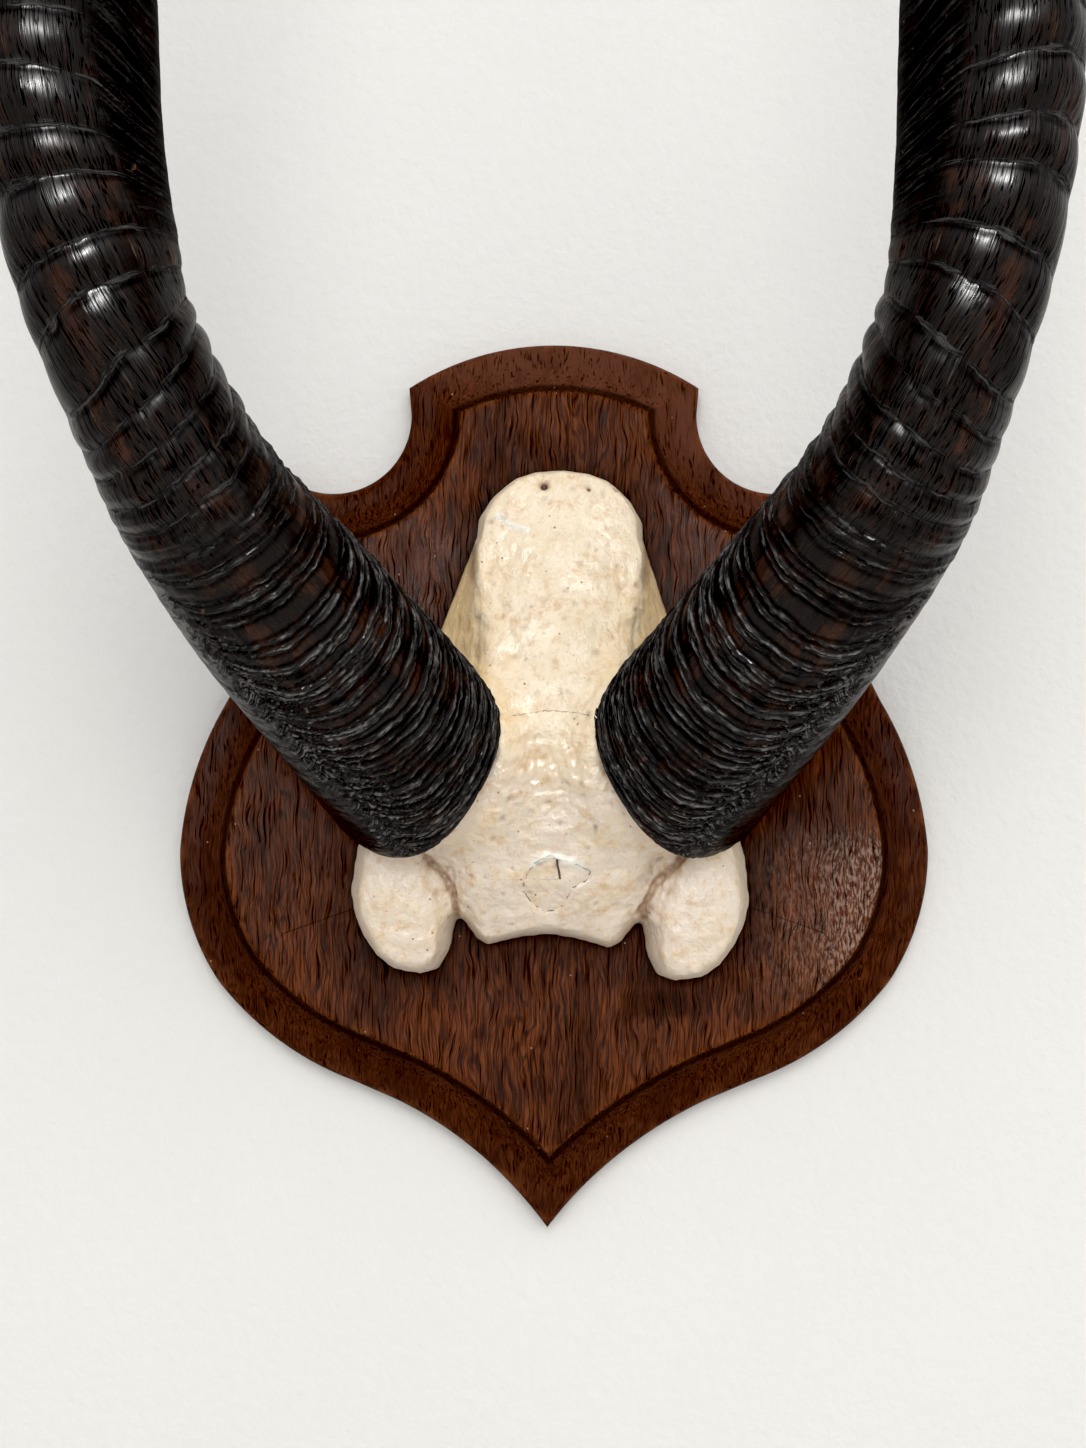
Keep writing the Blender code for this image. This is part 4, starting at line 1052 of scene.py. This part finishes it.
HORNS = ("horn_left", "horn_right")
HORN_STATIONS = {
    "horn_left": (
        (-54.0, -57.0, 11.5, 36.8, 37.0, 0.0),
        (-73.5, -93.0, 38.7, 35.0, 36.5, 0.0),
        (-97.3, -128.0, 68.6, 32.4, 35.0, 0.0),
        (-117.2, -157.0, 97.1, 27.8, 33.5, 2.0),
        (-129.0, -178.0, 122.1, 24.4, 31.5, 5.0),
        (-139.0, -195.0, 148.4, 22.4, 30.0, 12.0),
        (-143.2, -204.0, 168.7, 22.0, 29.0, 26.0),
        (-148.2, -216.0, 203.3, 21.8, 28.6, 43.0),
        (-149.2, -226.0, 243.3, 21.6, 28.0, 55.0),
        (-148.0, -236.0, 300.0, 20.2, 26.0, 62.0),
        (-144.0, -248.0, 365.0, 17.6, 22.6, 66.0),
        (-137.0, -264.0, 430.0, 14.0, 17.4, 68.0),
        (-129.0, -285.0, 495.0, 10.2, 12.2, 70.0),
        (-122.0, -309.0, 548.0, 6.4, 7.3, 70.0),
        (-117.0, -332.0, 588.0, 1.6, 1.8, 70.0),
    ),
    "horn_right": (
        (48.8, -57.0, 11.5, 36.8, 37.0, 0.0),
        (67.5, -93.0, 38.4, 35.0, 36.5, 0.0),
        (89.7, -128.0, 68.9, 32.4, 35.0, 0.0),
        (108.2, -157.0, 97.8, 28.6, 33.5, 2.0),
        (118.2, -178.0, 122.8, 24.8, 31.5, 5.0),
        (125.2, -195.0, 148.4, 22.4, 30.0, 12.0),
        (129.0, -204.0, 168.7, 21.6, 28.6, 26.0),
        (131.4, -216.0, 203.3, 21.6, 28.4, 43.0),
        (131.8, -226.0, 243.3, 21.6, 28.0, 55.0),
        (130.4, -236.0, 300.0, 20.2, 26.0, 62.0),
        (127.0, -248.0, 365.0, 17.6, 22.6, 66.0),
        (121.0, -263.0, 430.0, 14.0, 17.4, 68.0),
        (113.0, -283.0, 495.0, 10.2, 12.2, 70.0),
        (106.0, -306.0, 548.0, 6.4, 7.3, 70.0),
        (100.5, -328.0, 588.0, 1.6, 1.8, 70.0),
    ),
}
BASE_NORMAL = {"horn_left": (-0.527, -0.788, 0.319), "horn_right": (0.527, -0.788, 0.319)}
BASE_BLEND = 55.0
SECTION_POWER = 2.4
CORNER_ANGLE = 62.0
CORNER_WIDTH = 30.0
CORNER_SWELL = 0.05
FIRST_RING = 9.0
LAST_RING = 515.0
RING_SPACING = ((0.0, 7.0), (90.0, 8.5), (170.0, 11.5), (260.0, 16.0), (360.0, 17.5), (LAST_RING, 13.0))
RING_RHYTHM = (1.0, 0.86, 1.14, 0.92, 1.22, 0.84, 1.05)
RING_DEPTH = ((0.0, 1.0), (40.0, 1.6), (160.0, 2.0), (330.0, 2.2), (450.0, 1.5), (LAST_RING, 0.5))
RING_ARCH = (
    (0.0, -12.0), (100.0, -11.0), (140.0, 0.0), (170.0, 6.0), (200.0, 11.0), (240.0, 14.0), (420.0, 14.0),
    (700.0, 5.0),
)  # fmt: skip
# Where on the horn each ring is highest: degrees to the inner side of what faces forward.
RING_TOP = (
    (0.0, -8.0), (125.0, -8.0), (155.0, 75.0), (200.0, 75.0), (235.0, 30.0), (280.0, -20.0), (700.0, -20.0),
)  # fmt: skip
PATH_SAMPLES = 24
CRUST_SPACING = ((0.0, 4.6), (60.0, 5.8), (140.0, 7.6), (200.0, 5.0), (700.0, 5.0))
KEEL_ANGLE = ((0.0, -52.0), (40.0, -37.0), (100.0, -42.0), (170.0, -60.0))
KEEL_BEND = 13.0
KEEL_WIDTH = 13.0
FLANK_BEND = 9.0
HORN_SIDES = 160
FRONT_DENSITY = 0.48
FRONT_CENTRE = math.radians(10.0)
ROW_STEP = ((0.0, 0.72), (340.0, 0.74), (360.0, 2.2), (700.0, 3.0))
HORN_SEED = {"horn_left": 2.0, "horn_right": 9.0}


def horn_base(name):
    """The centre of a horn's base and the direction that the base plane faces."""
    return Vector(HORN_STATIONS[name][0][:3]), Vector(BASE_NORMAL[name]).normalized()


def horn_path(name):
    """The distance from the base and the station values, along a smooth curve through the stations."""
    stations = np.array(HORN_STATIONS[name])
    padded = np.concatenate([[2 * stations[0] - stations[1]], stations, [2 * stations[-1] - stations[-2]]])
    samples = []
    for index in range(1, len(padded) - 2):
        a, b, c, d = padded[index - 1 : index + 3]
        for share in np.arange(PATH_SAMPLES) / PATH_SAMPLES:
            squared, cubed = share**2, share**3
            samples.append(
                a * (-0.5 * cubed + squared - 0.5 * share) + b * (1.5 * cubed - 2.5 * squared + 1.0)
                + c * (-1.5 * cubed + 2.0 * squared + 0.5 * share) + d * (0.5 * cubed - 0.5 * squared)
            )  # fmt: skip
    samples.append(stations[-1])
    samples = np.array(samples)
    steps = np.linalg.norm(np.diff(samples[:, :3], axis=0), axis=1)
    return np.concatenate([[0.0], np.cumsum(steps)]), samples


def unit(vectors):
    return vectors / np.linalg.norm(vectors, axis=-1, keepdims=True)


def horn_frames(name, path, along):
    """The centre, the inward and forward axes, the half width and the half depth at each distance."""
    places, samples = path
    values = np.stack([np.interp(along, places, samples[:, k]) for k in range(6)], axis=-1)
    ahead = np.stack([np.interp(along + 7.0, places, samples[:, k]) for k in range(3)], axis=-1)
    behind = np.stack([np.interp(along - 7.0, places, samples[:, k]) for k in range(3)], axis=-1)
    tangent = unit(ahead - behind)
    blend = smooth(along / BASE_BLEND)[..., None]
    base = np.array(horn_base(name)[1])
    normal = unit(base * (1.0 - blend) + tangent * blend)
    viewer = np.array((0.0, -1.0, 0.0))
    forward = unit(viewer - normal * (normal @ viewer)[..., None])
    inward = np.cross(normal, forward)
    if name == "horn_right":
        inward = -inward
    roll = np.radians(values[..., 5])[..., None]
    turned_forward = forward * np.cos(roll) - inward * np.sin(roll)
    turned_inward = inward * np.cos(roll) + forward * np.sin(roll)
    return values[..., :3], turned_inward, turned_forward, values[..., 3], values[..., 4]


def ring_places():
    """The distance from the base of each growth ring's lip."""
    places = [FIRST_RING]
    while places[-1] < LAST_RING:
        rhythm = RING_RHYTHM[len(places) % len(RING_RHYTHM)]
        places.append(places[-1] + float(table(RING_SPACING, places[-1])) * rhythm)
    return np.array([-6.0, *places])


def row_places(length):
    """The distances of the mesh's rows along the rings."""
    rows = [0.0]
    while rows[-1] < length - 1.5:
        rows.append(rows[-1] + float(table(ROW_STEP, rows[-1])))
    rows[-1] = length
    return np.array(rows)


def crust_places():
    """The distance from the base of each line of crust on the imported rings, in groups, and its width."""
    chance = np.random.RandomState(5)
    places = [2.0]
    while places[-1] < LAST_RING:
        for _ in range(chance.randint(1, 4)):
            places.append(places[-1] + chance.uniform(2.4, 3.6))
        places.append(places[-1] + float(table(CRUST_SPACING, places[-1])) * chance.uniform(0.6, 1.4))
    return np.array(places), chance.uniform(0.65, 1.15, len(places))


def nearest_line(place, lines):
    """The signed distance to the nearest of some rising places, and which one it is."""
    after = np.clip(np.searchsorted(lines, place), 1, len(lines) - 1)
    nearer = np.where(place - lines[after - 1] < lines[after] - place, after - 1, after)
    return place - lines[nearer], nearer


def cell_walls(x, y, seed):
    """1 on the walls between irregular cells of about one unit, falling to 0 inside them."""
    first = np.full(x.shape, 9.0)
    second = np.full(x.shape, 9.0)
    for i in (-1, 0, 1):
        for j in (-1, 0, 1):
            column, row = np.floor(x).astype(int) + i, np.floor(y).astype(int) + j
            shift = 0.5 + 0.42 * GRADIENTS[SHUFFLE[(SHUFFLE[(column + seed * 31) & 255] + row) & 255]]
            gap = np.hypot(column + shift[..., 0] - x, row + shift[..., 1] - y)
            second = np.minimum(second, np.maximum(first, gap))
            first = np.minimum(first, gap)
    return 1.0 - smooth((second - first) / 0.24)


def open_rings(seed, place, degrees, across):
    """The rings' swell, the crusted lip of each, the distance to that lip and its half width."""
    lips = ring_places()
    after = np.clip(np.searchsorted(lips, place), 1, len(lips) - 1)
    share = np.clip((place - lips[after - 1]) / (lips[after] - lips[after - 1]), 0.0, 1.0)
    bulge = np.sin(np.pi * share) ** 0.8 * (0.9 + 0.4 * wave_noise(after * 3.7, degrees / 60.0, seed))
    to_lip, which = nearest_line(place, lips)
    lip_width = 0.85 + 1.4 * layered_noise(which * 5.3, across / 11.0, seed, 2)
    return bulge, smooth((lip_width - np.abs(to_lip)) / 0.8 + 0.2), to_lip, lip_width


def crust_strips(seed, place, degrees, across):
    """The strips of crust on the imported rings, the distance to the nearest one and its half width."""
    lines, widths = crust_places()
    to_line, line = nearest_line(place, lines)
    wide = widths[line] * (1.05 + 1.1 * wave_noise(line * 2.7, across / 17.0, seed))
    wide = wide + 0.3 * smooth((degrees - 10.0) / 60.0)
    broken = smooth((layered_noise(across / 9.0, line * 1.9, seed, 2, 13) + 0.6) / 0.3)
    return smooth((wide - np.abs(to_line)) / 0.6) * broken, to_line, wide


def ring_relief(seed, along, angle, across, roll):
    """The rings' height in millimetres and the values that the material reads, at each place on the horn.

    `packed` is 1 on the crusted rings near the base and on the flank, and 0 on the open, polished rings.
    """
    degrees = np.degrees(angle)
    facing = degrees - roll
    low = smooth((170.0 - along) / 70.0)
    past_keel = degrees - table(KEEL_ANGLE, along)
    keel = np.exp(-np.abs(past_keel) / KEEL_WIDTH) * low
    wander = 1.9 * layered_noise(across / 19.0, along / 24.0, seed, 3, 1)
    place = along + wander + 0.5 * layered_noise(across / 3.2, along / 8.0, seed, 2, 2) - KEEL_BEND * keel
    place = place + FLANK_BEND * smooth((degrees - 75.0) / 60.0) * smooth((along - 215.0) / 60.0)

    outer = smooth((facing + 88.0) / 42.0)
    outer = np.maximum(outer, low * smooth((past_keel + 6.0) / 12.0))
    back = smooth((170.0 - np.abs(degrees - 60.0)) / 60.0)
    shown = (0.12 + 0.88 * outer) * (0.3 + 0.7 * back)
    flank = smooth((degrees - 68.0 - 9.0 * wave_noise(along / 14.0, seed)) / 22.0)
    flank = flank * smooth((along - 215.0) / 45.0)
    packed = np.maximum(1.0 - smooth((along - 115.0) / 75.0), 0.85 * flank)
    open_part = 1.0 - packed
    ringed = smooth((LAST_RING + 6.0 - place) / 30.0)

    bulge, lip, to_lip, lip_width = open_rings(seed, place, degrees, across)
    strip, to_line, wide = crust_strips(seed, place, degrees, across)
    cells = cell_walls(across / 5.6, place / 3.2, 3) * np.exp(-(((past_keel - 3.0) / 20.0) ** 2)) * low
    beyond = low * smooth((-9.0 - past_keel) / 8.0)
    strip = np.maximum(strip * (1.0 - beyond), cells)
    arcs = beyond * np.exp(-(((to_line - 0.5) / 0.55) ** 2)) * 0.5

    grain = layered_noise(across / 7.0, place, seed, 2, 4)
    blocks = layered_noise(across / 3.0, place / 2.4, seed, 2, 6)
    crust = packed * np.clip(strip + arcs, 0.0, 1.0) + open_part * lip * shown
    flank = flank * smooth((LAST_RING - 20.0 - along) / 110.0)
    crust = np.maximum(crust, flank * np.clip(0.3 + 0.5 * blocks, 0.0, 1.0))

    depth = table(RING_DEPTH, along)
    close = strip * (1.15 * (1.0 + 0.6 * blocks) + 0.4 * grain) + 0.4 * (cells + arcs)
    close = close + 0.5 * depth * (bulge - 0.5)
    close = close * np.maximum(shown, 0.35) * (1.0 - 0.9 * flank)
    wide_apart = 1.2 * depth * bulge * shown + 0.7 * lip * shown * (0.7 + 0.8 * blocks) + 0.22 * grain * lip
    relief = (close * packed + wide_apart * open_part) * ringed
    relief *= 1.0 - 0.7 * smooth((facing - 38.0) / 30.0) * smooth((along - 190.0) / 30.0)
    relief += 0.16 * np.minimum(0.0, layered_noise(across / 1.7, along / 26.0, seed, 2, 7)) * open_part
    relief += 0.3 * layered_noise(across / 14.0, along / 30.0, seed, 2, 9)

    # Painted shade: where the grooves under the lips and beside the crust strips are made near black.
    gap = 0.8 * np.exp(-(((to_lip + 1.9) / 0.9) ** 2)) * open_part * shown * smooth(lip_width)
    gap = np.maximum(gap, 0.8 * packed * smooth((1.5 - np.abs(np.abs(to_line) - wide - 0.6)) / 1.3))
    return relief, {
        "crust": crust * ringed,
        "groove": np.clip(gap * ringed * (1.0 - crust), 0.0, 1.0),
        "ring": place,
        # Paler crust on the crests, partly a painted highlight.
        "crest": crust * np.clip(0.45 + 0.75 * blocks + 0.8 * cells, 0.0, 1.0) * (0.4 + 0.6 * packed),
        "open": open_part,
        "flank": flank,
        "dull": np.maximum(smooth((facing - 22.0) / 34.0), 0.8 * smooth((-facing - 42.0) / 34.0)),
        "keel": low * smooth((26.0 - past_keel) / 20.0),
        "across": across,
        "along": along,
    }


def build_horn(name, material):
    """One horn: lofted along its path, with rows that follow the growth rings."""
    path = horn_path(name)
    length = path[0][-1]
    angle = 2.0 * math.pi * np.arange(HORN_SIDES) / HORN_SIDES - math.pi
    angle = angle - FRONT_DENSITY * np.sin(angle - FRONT_CENTRE)
    along, angle = np.broadcast_arrays(row_places(length)[:, None], angle[None, :])
    front, side = np.cos(angle), np.sin(angle)
    arch = table(RING_ARCH, along) * smooth(along / 30.0) * smooth((length - along) / 40.0)
    roll = np.interp(along, path[0], path[1][:, 5])
    true = along + arch * (np.cos(angle - np.radians(roll + table(RING_TOP, along))) - 0.3)
    centre, inward, forward, width, depth = horn_frames(name, path, np.clip(true, 0.0, length))
    reach = (np.abs(side) ** SECTION_POWER + np.abs(front) ** SECTION_POWER) ** (-1.0 / SECTION_POWER)
    reach = reach * (1.0 - 0.04 * smooth((along - length + 14.0) / 14.0))
    reach = reach + CORNER_SWELL * np.exp(-(((np.degrees(angle) - CORNER_ANGLE) / CORNER_WIDTH) ** 2))
    around = inward * (side * reach * width)[..., None] + forward * (front * reach * depth)[..., None]
    across = angle * (width + depth) / 2.0
    seed = HORN_SEED[name]
    relief, values = ring_relief(seed, along, angle, across, roll)
    relief = relief * smooth(along / 4.0 + 0.3) * smooth((length - along) / 8.0)
    ragged = np.maximum(0.0, layered_noise(across / 5.0, seed, 0.0, 3, 61))
    relief -= 0.9 * ragged * smooth((3.5 - along) / 3.5)
    points = centre + around + unit(around) * relief[..., None]
    rows, sides = along.shape
    low, high, last = rows * sides, rows * sides + 1, (rows - 1) * sides
    faces = tube_faces(rows, sides)
    faces += [((n + 1) % sides, n, low) for n in range(sides)]
    faces += [(last + n, last + (n + 1) % sides, high) for n in range(sides)]
    if name == "horn_right":
        faces = [face[::-1] for face in faces]
    ends = [points[0].mean(axis=0), points[-1].mean(axis=0)]
    made = mesh_object(name + "_ringed", np.concatenate([points.reshape(-1, 3), ends]), faces)
    add_values(made, **{key: np.append(value.ravel(), [0.0, 0.0]) for key, value in values.items()})
    place_piece(made, name, material)


# Studio

WALL_COLOUR = (0.86, 0.845, 0.815)
WALL_GRAIN = 0.22
FLOOR_COLOUR = (0.55, 0.54, 0.525)
FLOOR_GRAIN = 0.05
# The room's sizes in metres: half its width, the floor, the wall's top and the gap behind the mount.
ROOM_REACH = 3.0
FLOOR_Z = -0.62
WALL_TOP = 2.6
WALL_Y = 0.0008
# Rays shorter than this, in metres, go through the wall, so that light reaches the mount's back.
OPEN_TO_RAYS = 0.03
SKY_COLOUR = (0.97, 0.985, 1.0, 1.0)
SKY_STRENGTH = 0.765
# Name, place, target, side, power, colour, and whether it lights matt surfaces and shows in shiny ones.
LIGHTS = (
    ("key", (0.42, -1.8, 1.0), (0.0, -0.05, 0.0), 1.9, 14.4, (1.0, 0.985, 0.965), True, True),
    ("front", (-0.1, -2.0, 0.85), (0.0, -0.1, 0.1), 0.8, 9.0, (1.0, 0.99, 0.975), True, False),
    ("sparkle", (-0.12, -1.9, 0.38), (0.0, -0.1, 0.1), 0.3, 62.0, (1.0, 0.99, 0.975), False, True),
    ("rear", (0.6, 1.6, 1.2), (0.0, 0.0, 0.1), 1.6, 16.0, (1.0, 0.99, 0.98), True, True),
)


def add_area(name, place, target, size, power, colour, matt, gloss):
    light = bpy.data.lights.new(name, "AREA")
    light.shape = "SQUARE"
    light.size = size
    light.energy = power
    light.color = colour
    made = bpy.data.objects.new(name, light)
    made.location = place
    made.rotation_euler = (Vector(target) - Vector(place)).to_track_quat("-Z", "Y").to_euler()
    made.visible_diffuse = matt
    made.visible_glossy = gloss
    bpy.context.scene.collection.objects.link(made)


def add_plane(name, points, material):
    mesh = bpy.data.meshes.new(name)
    mesh.from_pydata(points, [], [tuple(range(len(points)))])
    mesh.materials.append(material)
    made = bpy.data.objects.new(name, mesh)
    bpy.context.scene.collection.objects.link(made)
    return made


def one_sided(material):
    """Lets the wall be seen from the front only, so that views from behind show the mount's back."""
    tree = material.node_tree
    clear = tree.nodes.new("ShaderNodeBsdfTransparent")
    back = tree.nodes.new("ShaderNodeNewGeometry")
    path = tree.nodes.new("ShaderNodeLightPath")
    near = tree.nodes.new("ShaderNodeMath")
    near.operation = "LESS_THAN"
    near.inputs[1].default_value = OPEN_TO_RAYS
    either = tree.nodes.new("ShaderNodeMath")
    either.operation = "MAXIMUM"
    mix = tree.nodes.new("ShaderNodeMixShader")
    tree.links.new(path.outputs["Ray Length"], near.inputs[0])
    tree.links.new(near.outputs[0], either.inputs[0])
    tree.links.new(back.outputs["Backfacing"], either.inputs[1])
    tree.links.new(either.outputs[0], mix.inputs["Fac"])
    tree.links.new(tree.nodes["Principled BSDF"].outputs[0], mix.inputs[1])
    tree.links.new(clear.outputs[0], mix.inputs[2])
    tree.links.new(mix.outputs[0], tree.nodes["Material Output"].inputs["Surface"])


def add_camera():
    camera = bpy.data.cameras.new("camera")
    camera.lens = CAMERA_LENS
    camera.sensor_width = CAMERA_SENSOR
    made = bpy.data.objects.new("camera", camera)
    made.location = Vector(CAMERA_PLACE) * MM
    made.rotation_euler = (math.radians(90.0), 0.0, 0.0)
    bpy.context.scene.collection.objects.link(made)
    bpy.context.scene.camera = made


def build_studio():
    """The wall, the floor, the lights and the camera."""
    wall = wall_material("wall_plaster", WALL_COLOUR, WALL_GRAIN)
    one_sided(wall)
    corners = ((-ROOM_REACH, FLOOR_Z), (ROOM_REACH, FLOOR_Z), (ROOM_REACH, WALL_TOP), (-ROOM_REACH, WALL_TOP))
    backdrop = add_plane("backdrop", [(x, WALL_Y, z) for x, z in corners], wall)
    backdrop.visible_shadow = False
    corners = ((-1, -1), (1, -1), (1, 1), (-1, 1))
    points = [(x * ROOM_REACH, y * ROOM_REACH, FLOOR_Z) for x, y in corners]
    add_plane("floor", points, wall_material("floor_paint", FLOOR_COLOUR, FLOOR_GRAIN))
    for light in LIGHTS:
        add_area(*light)
    world = bpy.data.worlds.new("studio")
    world.use_nodes = True
    background = world.node_tree.nodes["Background"]
    background.inputs["Color"].default_value = SKY_COLOUR
    background.inputs["Strength"].default_value = SKY_STRENGTH
    scene = bpy.context.scene
    scene.world = world
    scene.view_settings.view_transform = "Standard"
    scene.view_settings.use_curve_mapping = True
    scene.view_settings.curve_mapping.black_level = BLACK_LEVEL
    add_camera()


# The whole

STEEL_NODES = ("hanger", "hanger_screw_left", "hanger_screw_right", "skull_screw_upper", "skull_screw_lower")

build_studio()
build_shield(oak_material())
build_skull(bone_material())
keratin = horn_material()
for horn_name in HORNS:
    build_horn(horn_name, keratin)
steel = steel_material()
for node_name in STEEL_NODES:
    for material_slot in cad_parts[node_name].material_slots:
        material_slot.material = steel
